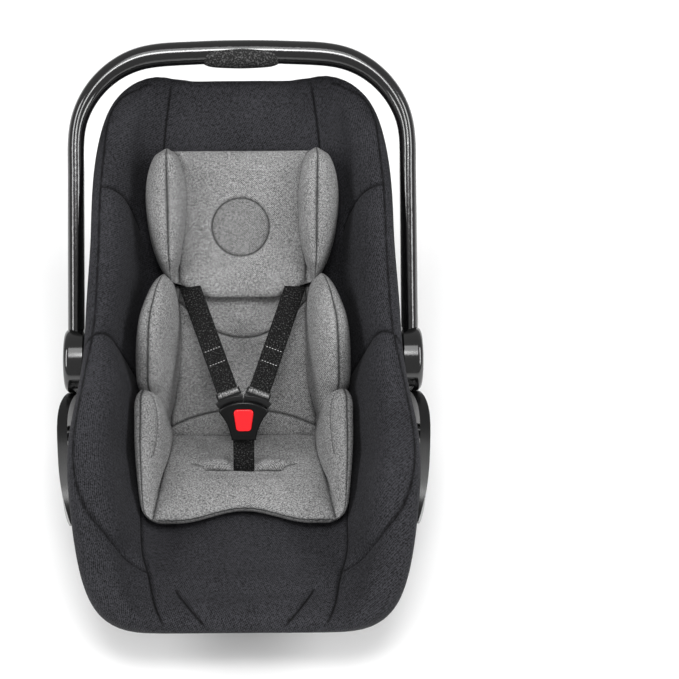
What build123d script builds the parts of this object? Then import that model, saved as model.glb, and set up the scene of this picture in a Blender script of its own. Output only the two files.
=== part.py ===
from build123d import *
import os
from math import cos, exp, pi, radians, sin, sqrt, tan

# Infant car seat: a rocking tub shell with a swinging carry handle, a padded cover, a three-part newborn
# insert and a three-point harness. Millimetres, +Z up, floor at Z 0, foot end towards -Y, head end +Y.

# Tub: its rim lies on a line that rises towards the head end
RIM_TILT = 19.0
RIM_MID_Y = -8.5
RIM_MID_HEIGHT = 243.0
HALF_LENGTH = 338.0
RIM_HALF_WIDTH = 183.0
HEAD_TAPER = 5.0
HEAD_CORNER_POWER = 6.0
FRONT_CORNER_POWER = 7.0
LEG_BULGE = 8.0
FLOOR_SHARE = 0.57
BACK_ANGLE = 44.0
SEAT_ANGLE = 15.5
HEAD_LIP = -1.2
FRONT_LIP = -7.6
FRONT_CAP = -20.0
FRONT_SOFTNESS = 5.0
CREASE_SOFTNESS = 14.0
HEAD_WING = 24.0
LEG_WING = 12.0
HUB_DIP = 4.0
FRONT_DROP = 14.0

# Layers of the tub, as depths below the face that the child lies on
COVER_BACK = 5.0
LINER_FRONT = 8.0
LINER_BACK = 11.3
SHELL_FRONT = 16.0
SHELL_BACK = 20.5
RIM_ROLL = 26.0
SHELL_TOP_DROP = 9.0
COVER_HEM = 26.0
LINER_TOP_DROP = 16.0
LINER_REACH = 272.0
LAYER_GAP = 1.3

# Rocker runners under the shell
RUNNER_X = 96.0
RUNNER_WIDTH = 18.0
RUNNER_FLAT = 65.0
RUNNER_RADIUS = 420.0
RUNNER_FRONT = -160.0
RUNNER_BACK = 140.0
RUNNER_NOSE = (-203.0, 40.0)
RUNNER_HEEL = (186.0, 66.0)

# Carry handle and its hubs
PIVOT_Y = 8.2
PIVOT_Z = 180.0
HANDLE_LEAN = 37.5
HANDLE_REACH = 369.0
ARM_X = 198.0
ARM_HALF = (10.0, 13.0)
BAR_HALF = (14.0, 13.5)
HANDLE_CORNER = 107.0
HANDLE_CORNER_TURN = 86.0
GRIP_HALF_LENGTH = 46.0
GRIP_SWELL = 5.5
HUB_RADIUS = 38.0
HUB_IN = 187.0
HUB_OUT = 211.0
SOCKET_RADIUS = 33.0
SOCKET_OUT = 186.6
STUB_RADIUS = 13.0
STUB_CLEARANCE = 0.06
GEAR_POCKET = 25.5
GEAR_TEETH = 12
BUTTON_RADIUS = 16.0

# Harness
WEBBING_WIDTH = 25.0
WEBBING_THICK = 1.6
SHOULDER_X = 64.0
BUCKLE_FOOT = (-66.8, 124.8)
BUCKLE_LEAN = 55.0
BUCKLE_HEIGHT = 46.0
BUCKLE_ARC = 47.5
BUCKLE_TOP_HALF = 28.5
BUCKLE_FOOT_HALF = 14.5
TONGUE_X = 18.0
PRESS_BUTTON = (24.4, 17.0, 26.5)

# Newborn insert
NECK_GAP = 16.0
BACK_PAD_LENGTH = 162.0
HEAD_PAD_LENGTH = 156.0
SEAT_PAD_LENGTH = 140.0
SEAT_PAD_NOTCH = 22.0
PAD_HALF = 82.0
SEAT_PAD_HALF = 96.0
PAD_EDGE = 9.0
WING_TILT = 72.0
SLIT_WIDTH = 88.0

# Places along the tub where its section is drawn
STATIONS = (-324, -308, -276, -222, -150, -96, -54, -9, 56, 136, 216, 274, 307, 324)

TILT = radians(RIM_TILT)
ALONG = Vector(0, cos(TILT), sin(TILT))
ACROSS = Vector(1, 0, 0)
RIM_MID = Vector(0, RIM_MID_Y, RIM_MID_HEIGHT)
UP = Vector(0, -sin(TILT), cos(TILT))


def bump(t, centre, spread):
    return exp(-(((t - centre) / spread) ** 2))


def soft_max(a, b, softness):
    return 0.5 * (a + b + sqrt((a - b) ** 2 + 4 * softness**2))


def plan_half(t):
    """Half width of the covered rim at a place along the tub."""
    head = min(max((t - 20) / 120, 0), 1)
    power = HEAD_CORNER_POWER if t > 0 else FRONT_CORNER_POWER
    full = RIM_HALF_WIDTH - HEAD_TAPER * head * head * (3 - 2 * head) + LEG_BULGE * bump(t, -119, 75)
    return full * (1 - abs(t / HALF_LENGTH) ** power) ** (1 / power)


def rim_top(t):
    front = max(0.0, (-t - 230) / 108)
    wings = HEAD_WING * bump(t, 171, 95) + LEG_WING * bump(t, -159, 75)
    return wings - HUB_DIP * bump(t, 1, 40) - FRONT_DROP * front**2


def back_line(t):
    return HEAD_LIP - (HALF_LENGTH - t) * tan(radians(BACK_ANGLE - RIM_TILT))


def seat_line(t):
    return FRONT_LIP - (t + HALF_LENGTH) * tan(radians(SEAT_ANGLE + RIM_TILT))


def floor(t):
    """The lying face: back and seat meet in a soft crease, and the seat levels out at the front lip."""
    seat = -soft_max(-seat_line(t), -FRONT_CAP, FRONT_SOFTNESS)
    return soft_max(back_line(t), seat, CREASE_SOFTNESS) - 1.0


def tub_point(t, w, u=0.0):
    return RIM_MID + ACROSS * u + ALONG * t + UP * w


def section_plane(t):
    return Plane(origin=tub_point(t, 0), x_dir=ACROSS, z_dir=-ALONG)


def u_half(rim, base, top, bottom):
    """Right half of a tub section, from the rim to the middle of the floor."""
    points = []
    for q in (0.0, 0.25, 0.5, 0.75, 0.92, 1.0):
        lean = 0.62 * q + 0.38 * q**6
        points.append((rim - (rim - base) * lean, top - (top - bottom) * q))
    return points + [(0.5 * base, bottom), (0.0, bottom)]


def both_halves(right):
    return right + [(-u, w) for u, w in reversed(right[:-1])]


def layer_half(t, depth, drop):
    """A tub section that lies a depth behind the lying face and ends a drop below the rim."""
    rim = plan_half(t) - RIM_ROLL + depth
    base = FLOOR_SHARE * plan_half(t) + 0.8 * depth
    return u_half(rim, base, rim_top(t) - drop, floor(t) - depth)


def section_face(t, edges):
    plane = section_plane(t)
    return plane * make_face(edges)


def band(t, front, back, drop):
    """Section of one layer of the tub between two depths."""
    inner = both_halves(layer_half(t, front, drop))
    outer = both_halves(layer_half(t, back, drop))
    return section_face(
        t,
        [
            Spline(*outer),
            Line(outer[-1], inner[-1]),
            Spline(*reversed(inner)),
            Line(inner[0], outer[0]),
        ],
    )


def filled(t, depth, drop):
    """Section of everything inside a tub layer."""
    outer = both_halves(layer_half(t, depth, drop))
    return section_face(t, [Spline(*outer), Line(outer[-1], outer[0])])


def cover_face_half(t, sink=0.0):
    """Right half of the cover's outer face: hem, rolled rim, side wall, floor."""
    outer = plan_half(t)
    top = rim_top(t) - sink
    depth = rim_top(t) - floor(t)
    shoulder = 6 * depth / (depth + 14)
    hem = [(outer - 1.5, top - COVER_HEM), (outer, top - 11)]
    roll = [(outer - 11, top), (outer - 21, top - shoulder)]
    wall = u_half(outer - RIM_ROLL, FLOOR_SHARE * outer, top, floor(t) - sink)
    return hem + roll + wall[1:]


def cover_section(t):
    face = both_halves(cover_face_half(t))
    shell_out = plan_half(t) - RIM_ROLL + SHELL_BACK + LAYER_GAP
    ledge = rim_top(t) - SHELL_TOP_DROP + LAYER_GAP
    hem = rim_top(t) - COVER_HEM
    under = both_halves(layer_half(t, COVER_BACK, SHELL_TOP_DROP - LAYER_GAP))
    return section_face(
        t,
        [
            Spline(*face),
            Line(face[-1], (-shell_out, hem)),
            Line((-shell_out, hem), (-shell_out, ledge)),
            Line((-shell_out, ledge), under[-1]),
            Spline(*reversed(under)),
            Line(under[0], (shell_out, ledge)),
            Line((shell_out, ledge), (shell_out, hem)),
            Line((shell_out, hem), face[0]),
        ],
    )


def cover_end_section(t, squeeze):
    """Section of the padded end of the cover, past the shell's edge."""
    face = both_halves(cover_face_half(t, squeeze))
    rim = plan_half(t) - 1.5
    base = FLOOR_SHARE * plan_half(t) + 20
    top = rim_top(t) - COVER_HEM - squeeze
    below = both_halves(u_half(rim, base, top, floor(t) - SHELL_BACK - 4 + squeeze))
    return section_face(t, [Spline(*face), Spline(*reversed(below))])


# The lying planes of the insert, raised a little off the cover
BACK_IN_TUB = radians(BACK_ANGLE - RIM_TILT)
SEAT_IN_TUB = radians(SEAT_ANGLE + RIM_TILT)
BACK_DIR = ALONG * cos(BACK_IN_TUB) + UP * sin(BACK_IN_TUB)
BACK_OUT = UP * cos(BACK_IN_TUB) - ALONG * sin(BACK_IN_TUB)
SEAT_OUT = UP * cos(SEAT_IN_TUB) + ALONG * sin(SEAT_IN_TUB)
BACK_START = -44.0
SEAT_START = -92.0
PAD_LIFT = 19.0
back_plane = Plane(
    origin=tub_point(BACK_START, back_line(BACK_START)) + BACK_OUT * PAD_LIFT, x_dir=ACROSS, z_dir=BACK_OUT
)
seat_plane = Plane(
    origin=tub_point(SEAT_START, seat_line(SEAT_START)) + SEAT_OUT * PAD_LIFT, x_dir=-ACROSS, z_dir=SEAT_OUT
)


def pad(plane, rows):
    """A crowned cushion lofted through rows of (y, left, right, front crown, back crown)."""
    faces = []
    for y, left, right, front, back in rows:
        middle = 0.5 * (left + right)
        half = PAD_EDGE / 2
        edges = [
            ThreePointArc((left, half), (middle, front), (right, half)),
            Line((right, half), (right, -half)),
            ThreePointArc((right, -half), (middle, -back), (left, -half)),
            Line((left, -half), (left, half)),
        ]
        origin = plane.from_local_coords(Vector(0, y, 0))
        row_plane = Plane(origin=origin, x_dir=plane.x_dir, z_dir=-plane.y_dir)
        faces.append(row_plane * make_face(edges))
    return loft(faces)


def swollen(share):
    """How full a cushion is at a share of its length: drawn in at both ends."""
    return sin(pi * (0.08 + 0.84 * share)) ** 0.5


def wing_plane(plane, x, n, tilt):
    """A plane hinged about the cushion's side edge and turned up by the tilt."""
    turned = plane.x_dir * cos(radians(tilt)) + plane.z_dir * sin(radians(tilt))
    origin = plane.from_local_coords(Vector(x, 0, n))
    return Plane(origin=origin, x_dir=turned, z_dir=turned.cross(plane.y_dir))


os.makedirs("parts", exist_ok=True)


def save(name, shape):
    shape.label = name
    export_step(shape, f"parts/{name}.step")


def save_pair(name, right):
    save(f"{name}_right", right)
    save(f"{name}_left", mirror(right, about=Plane.YZ))


# Strap slots, cut square to the back and to the seat
back_slots = Part() + [
    back_plane * Pos(side * (SHOULDER_X + 1), BACK_PAD_LENGTH + 8, -30) * Box(37, 14, 80) for side in (-1, 1)
]
SLIT_Y = 62.0
seat_slot = seat_plane * Pos(0, SLIT_Y, -35) * Box(33, 13, 90)

# Fixing holes of the rear belt guide
GUIDE_SCREWS = ((-26, 250), (26, 250))
SHELL_SKIN = -(PAD_LIFT + SHELL_BACK * cos(BACK_IN_TUB))
SCREW_RADIUS = 2.0
SCREW_HEAD = (4.2, 2.4)


def guide_screw(x, y, radius, low, high):
    return back_plane * Pos(x, y, (low + high) / 2) * Cylinder(radius, high - low)


guide_screw_holes = Part() + [
    guide_screw(x, y, SCREW_RADIUS, SHELL_SKIN - 8, SHELL_SKIN + 12) for x, y in GUIDE_SCREWS
]

# Shell with its two rocker runners, which grow out of the shell's underside
shell = loft([band(t, SHELL_FRONT, SHELL_BACK, SHELL_TOP_DROP) for t in STATIONS])
envelope = loft([filled(t, SHELL_BACK + 0.3, SHELL_TOP_DROP) for t in STATIONS])


def runner_rise(y):
    return RUNNER_RADIUS - sqrt(RUNNER_RADIUS**2 - (abs(y) - RUNNER_FLAT) ** 2)


def runner_outline():
    front, back = runner_rise(RUNNER_FRONT), runner_rise(RUNNER_BACK)
    inside = []
    for t in (205, 150, 100, 50, 10, -30, -60, -90, -130, -180, -225, -262):
        point = tub_point(t, floor(t) - SHELL_BACK + 2)
        inside.append((point.Y, point.Z))
    front_run = (RUNNER_FRONT + RUNNER_FLAT) / RUNNER_RADIUS
    back_run = (RUNNER_BACK - RUNNER_FLAT) / RUNNER_RADIUS
    front_heading = (-sqrt(1 - front_run**2), -front_run)
    back_heading = (sqrt(1 - back_run**2), back_run)
    return [
        Line((-RUNNER_FLAT, 0), (RUNNER_FLAT, 0)),
        TangentArc((RUNNER_FLAT, 0), (RUNNER_BACK, back), tangent=(1, 0)),
        Spline((RUNNER_BACK, back), RUNNER_HEEL, inside[0], tangents=[back_heading, (0, 1)]),
        Spline(*inside),
        Spline((RUNNER_FRONT, front), RUNNER_NOSE, inside[-1], tangents=[front_heading, (-0.4, 0.9)]),
        TangentArc((-RUNNER_FLAT, 0), (RUNNER_FRONT, front), tangent=(-1, 0)),
    ]


runner_plane = Plane(origin=(RUNNER_X - RUNNER_WIDTH / 2, 0, 0), x_dir=(0, 1, 0), z_dir=(1, 0, 0))
runner = extrude(runner_plane * make_face(runner_outline()), RUNNER_WIDTH)
shell = shell + runner + mirror(runner, about=Plane.YZ)
shell = shell - back_slots - seat_slot - guide_screw_holes
save("shell", shell)

# Foam liner between shell and cover
liner = loft([band(t, LINER_FRONT, LINER_BACK, LINER_TOP_DROP) for t in STATIONS])
liner_room = Box(2 * RIM_HALF_WIDTH, 2 * LINER_REACH, 2 * HALF_LENGTH)
liner = liner & Plane(origin=RIM_MID, x_dir=ACROSS, z_dir=UP) * liner_room
save("foam_liner", liner - back_slots - seat_slot)

# Padded seat cover, rolled over the rim all round
cover = loft([cover_section(t) for t in STATIONS])
for side in (-1, 1):
    ends = ((STATIONS[-1], 0), (STATIONS[-1] + 6.5, 2), (HALF_LENGTH - 2, 7))
    cover = cover + loft([cover_end_section(side * t, squeeze) for t, squeeze in ends])
save("seat_cover", cover - back_slots - seat_slot)

# Newborn insert: back pad, head pillow and seat pad, each with two side wings
PAD_SHARES = (0.0, 0.12, 0.35, 0.65, 0.88, 1.0)
WAIST_FLARE = 8.0
DRAWN_IN = 4.0
BACK_CROWN = (11.0, 5.0)
HEAD_CROWN = (15.0, 9.0)
SEAT_CROWN = (12.0, 5.0)


def crowned(crown, swell):
    return tuple(PAD_EDGE / 2 + full * swell for full in crown)


back_rows = []
for share in PAD_SHARES:
    half = PAD_HALF + WAIST_FLARE * (1 - share) - DRAWN_IN * sin(pi * share)
    back_rows.append((BACK_PAD_LENGTH * share, -half, half, *crowned(BACK_CROWN, swollen(share))))
save("insert_back_pad", pad(back_plane, back_rows))

HEAD_FOOT = BACK_PAD_LENGTH + NECK_GAP
HEAD_LIFT = 7.0
head_plane = Plane(
    origin=back_plane.from_local_coords(Vector(0, HEAD_FOOT, HEAD_LIFT)), x_dir=ACROSS, z_dir=back_plane.z_dir
)
head_rows = []
for share in PAD_SHARES:
    half = PAD_HALF - DRAWN_IN * sin(pi * share)
    head_rows.append((HEAD_PAD_LENGTH * share, -half, half, *crowned(HEAD_CROWN, swollen(share))))
save("insert_head_pillow", pad(head_plane, head_rows))


WING_GAP = 6.0
WING_LEAST = 12.0


def wing(plane, x, length, reach, lean, crown):
    """A side wing with a rounded outer edge, hinged up from the cushion's side."""
    hinge = wing_plane(plane, x, 3, WING_TILT)
    rows = []
    for share in (0.0, 0.1, 0.3, 0.55, 0.8, 0.93, 1.0):
        y = length * share
        out = reach * (1 - abs(2 * share - 1) ** 3.2) ** (1 / 2.4)
        near = WING_GAP + lean * share
        far = near + max(out, WING_LEAST)
        rows.append((y, near, far, *crowned(crown, swollen(share))))
    return pad(hinge, rows)


save_pair("insert_head_wing", wing(head_plane, PAD_HALF, HEAD_PAD_LENGTH, 60, 0, (7, 18)))
save_pair("insert_back_wing", wing(back_plane, PAD_HALF + WAIST_FLARE, BACK_PAD_LENGTH, 68, -2, (6, 12)))

seat_rows = []
for share in (-1.0, -0.8, -0.4, 0.0, 0.4, 0.8, 1.0):
    x = SEAT_PAD_HALF * share
    front = SEAT_PAD_LENGTH - SEAT_PAD_NOTCH * (1 - share**2)
    swell = (1 - 0.85 * share**2) ** 0.5
    seat_rows.append((x, -front, 0, *crowned(SEAT_CROWN, swell)))
seat_across = Plane(origin=seat_plane.origin, x_dir=-seat_plane.y_dir, z_dir=seat_plane.z_dir)
seat_pad = pad(seat_across, seat_rows)
slit = seat_plane * Pos(0, SLIT_Y, 0) * Box(SLIT_WIDTH, 8, 60)
save("insert_seat_pad", seat_pad - slit)
seat_wing_foot = seat_plane.from_local_coords(Vector(0, SEAT_PAD_LENGTH - 4, 0))
seat_wing_plane = Plane(origin=seat_wing_foot, x_dir=ACROSS, z_dir=SEAT_OUT)
save_pair("insert_seat_wing", wing(seat_wing_plane, SEAT_PAD_HALF, SEAT_PAD_LENGTH - 10, 62, 0, (6, 12)))

# Carry handle: a tube bent to a bow, flatter along the arms and fuller across the bar
LEAN = radians(HANDLE_LEAN)
handle_plane = Plane(origin=(0, PIVOT_Y, PIVOT_Z), x_dir=(1, 0, 0), z_dir=(0, -sin(LEAN), cos(LEAN)))
corner_turn = radians(HANDLE_CORNER_TURN)
bar_half_run = ARM_X - HANDLE_CORNER * (1 - cos(corner_turn))
bar_radius = bar_half_run / cos(corner_turn)
arm_end = HANDLE_REACH - HANDLE_CORNER * sin(corner_turn) - bar_radius * (1 - sin(corner_turn))


def bow_station(turn):
    """Point and heading of the bow's centre line, by the angle that it has turned from the arm."""
    if turn <= HANDLE_CORNER_TURN:
        a = radians(turn)
        return ARM_X - HANDLE_CORNER * (1 - cos(a)), arm_end + HANDLE_CORNER * sin(a)
    a = radians(turn)
    return bar_radius * cos(a), HANDLE_REACH - bar_radius * (1 - sin(a))


def bow_section(x, y, turn, half):
    a = radians(turn)
    heading = handle_plane.x_dir * -sin(a) + handle_plane.y_dir * cos(a)
    across = handle_plane.x_dir * cos(a) + handle_plane.y_dir * sin(a)
    plane = Plane(origin=handle_plane.from_local_coords(Vector(x, y, 0)), x_dir=across, z_dir=heading)
    return plane * Ellipse(*half)


def tube_half(turn):
    share = min(max((turn - 10) / 70, 0), 1)
    return tuple(arm + (bar - arm) * share for arm, bar in zip(ARM_HALF, BAR_HALF))


ARM_START = 28.0
ARM_STEPS = 8
right_bow = []
for k in range(ARM_STEPS):
    right_bow.append((ARM_X, ARM_START + (arm_end - ARM_START) * k / ARM_STEPS, 0.0, ARM_HALF))
for turn in (0.0, 14.3, 28.7, 43.0, 57.3, 71.7, 86.0, 87.3, 88.7):
    right_bow.append((*bow_station(turn), turn, tube_half(turn)))
left_bow = [(-x, y, 180 - turn, half) for x, y, turn, half in reversed(right_bow)]
middle_bow = [(*bow_station(90.0), 90.0, tube_half(90.0))]
tube = loft([bow_section(*station) for station in right_bow + middle_bow + left_bow])
save("handle_tube", tube)

# Soft grip pressed on the underside of the bar
grip_sections = []
for share in (-1.0, -0.85, -0.5, 0.0, 0.5, 0.85, 1.0):
    x = -GRIP_HALF_LENGTH * share
    swell = (1 - share**2) ** 0.5
    y = HANDLE_REACH - bar_radius * (1 - sqrt(1 - (x / bar_radius) ** 2)) - 3 * swell - 1
    half = (BAR_HALF[0] - 2 + (GRIP_SWELL - 1.5) * swell, BAR_HALF[1] - 2 + 2.6 * swell)
    grip_sections.append(bow_section(x, y, 90, half))
save("grip_pad", loft(grip_sections) - tube)


def disc(radius, start, end):
    """A disc about the handle's turning axis, on the right side."""
    return Pos((start + end) / 2, PIVOT_Y, PIVOT_Z) * Rot(0, 90, 0) * Cylinder(radius, end - start)


# Handle hubs: fixed sockets on the shell, turning housings, lock gears and release buttons
SOCKET_ROOT = 140.0
POCKET_FLOOR = 177.5
STUB_END = 196.0
HUB_WEB = (196.5, 199.0)
BOLT_RADIUS = 4.0
BOLT_TIP = 173.0
BOLT_HEAD = (7.0, 199.2, 201.8)
socket = disc(SOCKET_RADIUS, SOCKET_ROOT, SOCKET_OUT) - envelope - disc(GEAR_POCKET, POCKET_FLOOR, SOCKET_OUT)
socket = socket + disc(STUB_RADIUS, POCKET_FLOOR - 1.5, STUB_END)
socket = socket - disc(BOLT_RADIUS, BOLT_TIP - 1, STUB_END + 1)
save_pair("pivot_socket", socket)

GEAR_RADIUS = 22.0
GEAR_IN = 183.0
GEAR_OUT = 191.0
LEG_CIRCLE = 19.0
LEG_RADIUS = 2.0
FLANGE_RADIUS = BUTTON_RADIUS + 6
BUTTON_IN = 203.0
BUTTON_FACE = 208.0
housing = disc(HUB_RADIUS, HUB_IN, HUB_OUT)
housing = fillet(housing.edges().filter_by(GeomType.CIRCLE).sort_by(Axis.X)[-1], 7)
housing = fillet(housing.edges().filter_by(GeomType.CIRCLE).sort_by(Axis.X)[0], 1.5)
housing = housing - disc(STUB_RADIUS + STUB_CLEARANCE, HUB_IN, HUB_WEB[0])
housing = housing - disc(GEAR_POCKET, HUB_IN, GEAR_OUT + 1)
housing = housing - disc(FLANGE_RADIUS + 0.4, HUB_WEB[1], HUB_OUT - 6)
housing = housing - disc(BUTTON_RADIUS + 0.4, HUB_WEB[1], HUB_OUT + 1)
housing = housing - disc(BOLT_RADIUS + 1, STUB_END, HUB_WEB[1] + 1)


def three_legs(radius, start, end):
    places = [(LEG_CIRCLE * cos(2 * pi * k / 3), LEG_CIRCLE * sin(2 * pi * k / 3)) for k in range(3)]
    return Part() + [Pos(0, y, z) * disc(radius, start, end) for y, z in places]


leg_holes = three_legs(LEG_RADIUS + 0.5, GEAR_OUT - 2, HUB_WEB[1] + 2)
save_pair("hub_housing", housing - leg_holes - tube)

gear = disc(GEAR_RADIUS, GEAR_IN, GEAR_OUT) - disc(STUB_RADIUS + 1, GEAR_IN, GEAR_OUT)
gear_middle = (GEAR_IN + GEAR_OUT) / 2
tooth_box = Pos(gear_middle, PIVOT_Y, PIVOT_Z + GEAR_RADIUS + 0.6) * Box(GEAR_OUT - GEAR_IN, 5, 4)
turn_axis = Axis((0, PIVOT_Y, PIVOT_Z), (1, 0, 0))
gear = gear + [tooth_box.rotate(turn_axis, 360 * k / GEAR_TEETH) for k in range(GEAR_TEETH)]
save_pair("lock_gear", gear + three_legs(LEG_RADIUS, GEAR_OUT - 2, BUTTON_IN))

button = disc(BUTTON_RADIUS, BUTTON_IN, HUB_OUT + 1.2) + disc(FLANGE_RADIUS, BUTTON_IN, BUTTON_IN + 1.6)
button = fillet(button.edges().filter_by(GeomType.CIRCLE).sort_by(Axis.X)[-1], 3)
button = button - disc(BUTTON_RADIUS - 3, BUTTON_IN - 1, BUTTON_FACE)
save_pair("release_button", button)
SPRING_RADII = (9.5, 8.3)
spring_run = (BOLT_HEAD[2] + 0.4, BUTTON_FACE - 0.2)
save_pair("return_spring", disc(SPRING_RADII[0], *spring_run) - disc(SPRING_RADII[1], *spring_run))
save_pair("pivot_bolt", disc(BOLT_RADIUS, BOLT_TIP, BOLT_HEAD[1]) + disc(*BOLT_HEAD))

# Belt-guide lobes on the shell's sides: a curved leaf on two posts, open at the top for the lap belt
LOBE_THICK = 12.0
LOBE_PLAN = ((203, -5), (216.5, -48), (215.5, -103), (209, -153), (197, -189))
lobe_back = [(x - LOBE_THICK, y) for x, y in reversed(LOBE_PLAN)]
lobe_plan = make_face(
    [
        Spline(*LOBE_PLAN),
        Line(LOBE_PLAN[-1], lobe_back[0]),
        Spline(*lobe_back),
        Line(lobe_back[-1], LOBE_PLAN[0]),
    ]
)
side_view = Plane(origin=(150, 0, 0), x_dir=(0, 1, 0), z_dir=(1, 0, 0))
lobe_side = make_face(
    [
        Spline((-6, 137), (-21, 154), (-53, 164), (-113, 156), (-163, 140), (-186, 124)),
        Spline((-186, 124), (-179, 110), (-143, 100), (-83, 98), (-30, 109), (-6, 137)),
    ]
)
leaf = extrude(Pos(0, 0, 60) * lobe_plan, 140) & extrude(side_view * lobe_side, 90)
POST_RADIUS = 9.0
POST_PLACES = ((-58, 125), (-133, 122))
POST_RUN = (121.0, 209.0)
posts = Part() + [
    Pos(sum(POST_RUN) / 2, y, z) * Rot(0, 90, 0) * Cylinder(POST_RADIUS, POST_RUN[1] - POST_RUN[0])
    for y, z in POST_PLACES
]
save_pair("belt_lobe", leaf + (posts - envelope))

# Buckle: rear and front halves, red press button, latch plate and spring
BUCKLE_TILT = radians(BUCKLE_LEAN)
buckle_up = Vector(0, cos(BUCKLE_TILT), sin(BUCKLE_TILT))
buckle_out = Vector(0, -sin(BUCKLE_TILT), cos(BUCKLE_TILT))
buckle_plane = Plane(origin=(0, *BUCKLE_FOOT), x_dir=ACROSS, z_dir=buckle_out)
BUCKLE_FRONT = 10.0
BUCKLE_REAR = 9.0
BUCKLE_WALL = 2.2
shoulder = (BUCKLE_TOP_HALF, sqrt(BUCKLE_ARC**2 - BUCKLE_TOP_HALF**2))
corner = (BUCKLE_TOP_HALF + 1, shoulder[1] - 3)
waist = (20.0, 20.0)
foot = (BUCKLE_FOOT_HALF, 0)


def flip(point):
    return (-point[0], point[1])


buckle_outline = make_face(
    [
        Line(flip(foot), foot),
        ThreePointArc(foot, waist, corner),
        Line(corner, shoulder),
        ThreePointArc(shoulder, (0, BUCKLE_ARC), flip(shoulder)),
        Line(flip(shoulder), flip(corner)),
        ThreePointArc(flip(corner), flip(waist), flip(foot)),
    ]
)
buckle_inside = offset(buckle_outline, -BUCKLE_WALL, kind=Kind.INTERSECTION)
button_top, button_foot, button_tall = PRESS_BUTTON
BUTTON_FOOT_Y = 11.8
button_outline = make_face(
    Polyline(
        (-button_foot / 2, BUTTON_FOOT_Y),
        (button_foot / 2, BUTTON_FOOT_Y),
        (button_top / 2, BUTTON_FOOT_Y + button_tall),
        (-button_top / 2, BUTTON_FOOT_Y + button_tall),
        (-button_foot / 2, BUTTON_FOOT_Y),
    )
)
button_outline = fillet(button_outline.vertices(), 4.5)
TONGUE_THICK = 2.6
TONGUE_WIDTH = 10.0
TONGUE_LEVEL = TONGUE_THICK / 2 + 0.4
BLADE_RUN = (26.0, 51.2)
blade_middle = sum(BLADE_RUN) / 2
blade_length = BLADE_RUN[1] - BLADE_RUN[0]
mouth = Box(TONGUE_WIDTH + 0.8, blade_length + 5, TONGUE_THICK + 0.7)
mouths = Part() + [Pos(side * TONGUE_X, blade_middle, TONGUE_LEVEL) * mouth for side in (-1, 1)]
front_half = extrude(buckle_outline, BUCKLE_FRONT)
front_half = fillet(front_half.faces().sort_by(Axis.Z)[-1].edges(), 2.5)
FACE_BORDER = 4.6
FACE_SINK = 0.7
sunk_face = offset(buckle_outline, -FACE_BORDER, kind=Kind.INTERSECTION)
front_half = front_half - extrude(Pos(0, 0, BUCKLE_FRONT - FACE_SINK) * sunk_face, 5)
front_half = front_half - extrude(buckle_inside, BUCKLE_FRONT - BUCKLE_WALL) - mouths
front_half = front_half - extrude(offset(button_outline, 0.5), BUCKLE_FRONT + 5)
save("buckle_front", buckle_plane * front_half)
rear_half = extrude(buckle_outline, -BUCKLE_REAR)
rear_half = fillet(rear_half.faces().sort_by(Axis.Z)[0].edges(), 2)
rear_half = rear_half - extrude(buckle_inside, -(BUCKLE_REAR - BUCKLE_WALL))
CROTCH_Z = -3.5
rear_half = rear_half - Pos(0, 0, CROTCH_Z) * Box(WEBBING_WIDTH + 1, 12, WEBBING_THICK + 1.2)
save("buckle_rear", buckle_plane * rear_half)
press_button = extrude(Pos(0, 0, 4.6) * button_outline, BUCKLE_FRONT - 4.6 + 0.8)
press_button = fillet(press_button.faces().sort_by(Axis.Z)[-1].edges(), 1.2)
save("buckle_button", buckle_plane * press_button)
SPRING_Y = 23.0
spring = Pos(0, SPRING_Y, 0) * (Cylinder(4.5, 9) - Cylinder(3.6, 9))
save("buckle_spring", buckle_plane * spring)
latch = Pos(0, SPRING_Y, -5.4) * Box(27, 9, 1.6)
save("buckle_latch", buckle_plane * latch)

# Shoulder straps: from behind the shell, over the back pad, round the bar of the tongue
STRAP_Y = BACK_PAD_LENGTH + NECK_GAP / 2
STRAP_LIFT = 22.0
STRAP_TAIL = -52.0
BAR_RADIUS = 2.0
BAR_RISE = 11.5
LOOP_RADIUS = 3.2
bar_point = buckle_plane.from_local_coords(Vector(TONGUE_X + 0.3, BUCKLE_HEIGHT + BAR_RISE, TONGUE_LEVEL))
over_point = back_plane.from_local_coords(Vector(SHOULDER_X, STRAP_Y, STRAP_LIFT))
tail_point = back_plane.from_local_coords(Vector(SHOULDER_X, STRAP_Y, STRAP_TAIL))
strap_run = (over_point - bar_point).normalized()
strap_width = (over_point - bar_point).cross(tail_point - over_point).normalized()
strap_width = strap_width if strap_width.X > 0 else -strap_width
strap_face = strap_width.cross(strap_run).normalized()
strap_face = strap_face if strap_face.dot(buckle_out) > 0 else -strap_face


def webbing(points, radii, width_dir):
    """A flat strap swept along straight runs joined by arcs."""
    path = FilletPolyline(*points, radius=radii)
    start = Plane(origin=points[0], x_dir=width_dir, z_dir=(points[1] - points[0]).normalized())
    return sweep(start * Rectangle(WEBBING_WIDTH, WEBBING_THICK), path)


strap_points = [
    bar_point + strap_run * 22 - strap_face * LOOP_RADIUS,
    bar_point - strap_run * LOOP_RADIUS - strap_face * LOOP_RADIUS,
    bar_point - strap_run * LOOP_RADIUS + strap_face * LOOP_RADIUS,
    over_point + strap_face * LOOP_RADIUS,
    tail_point,
]
shoulder_strap = webbing(strap_points, [LOOP_RADIUS - 0.02, LOOP_RADIUS - 0.02, 11], strap_width)
save_pair("shoulder_strap", shoulder_strap)

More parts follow.
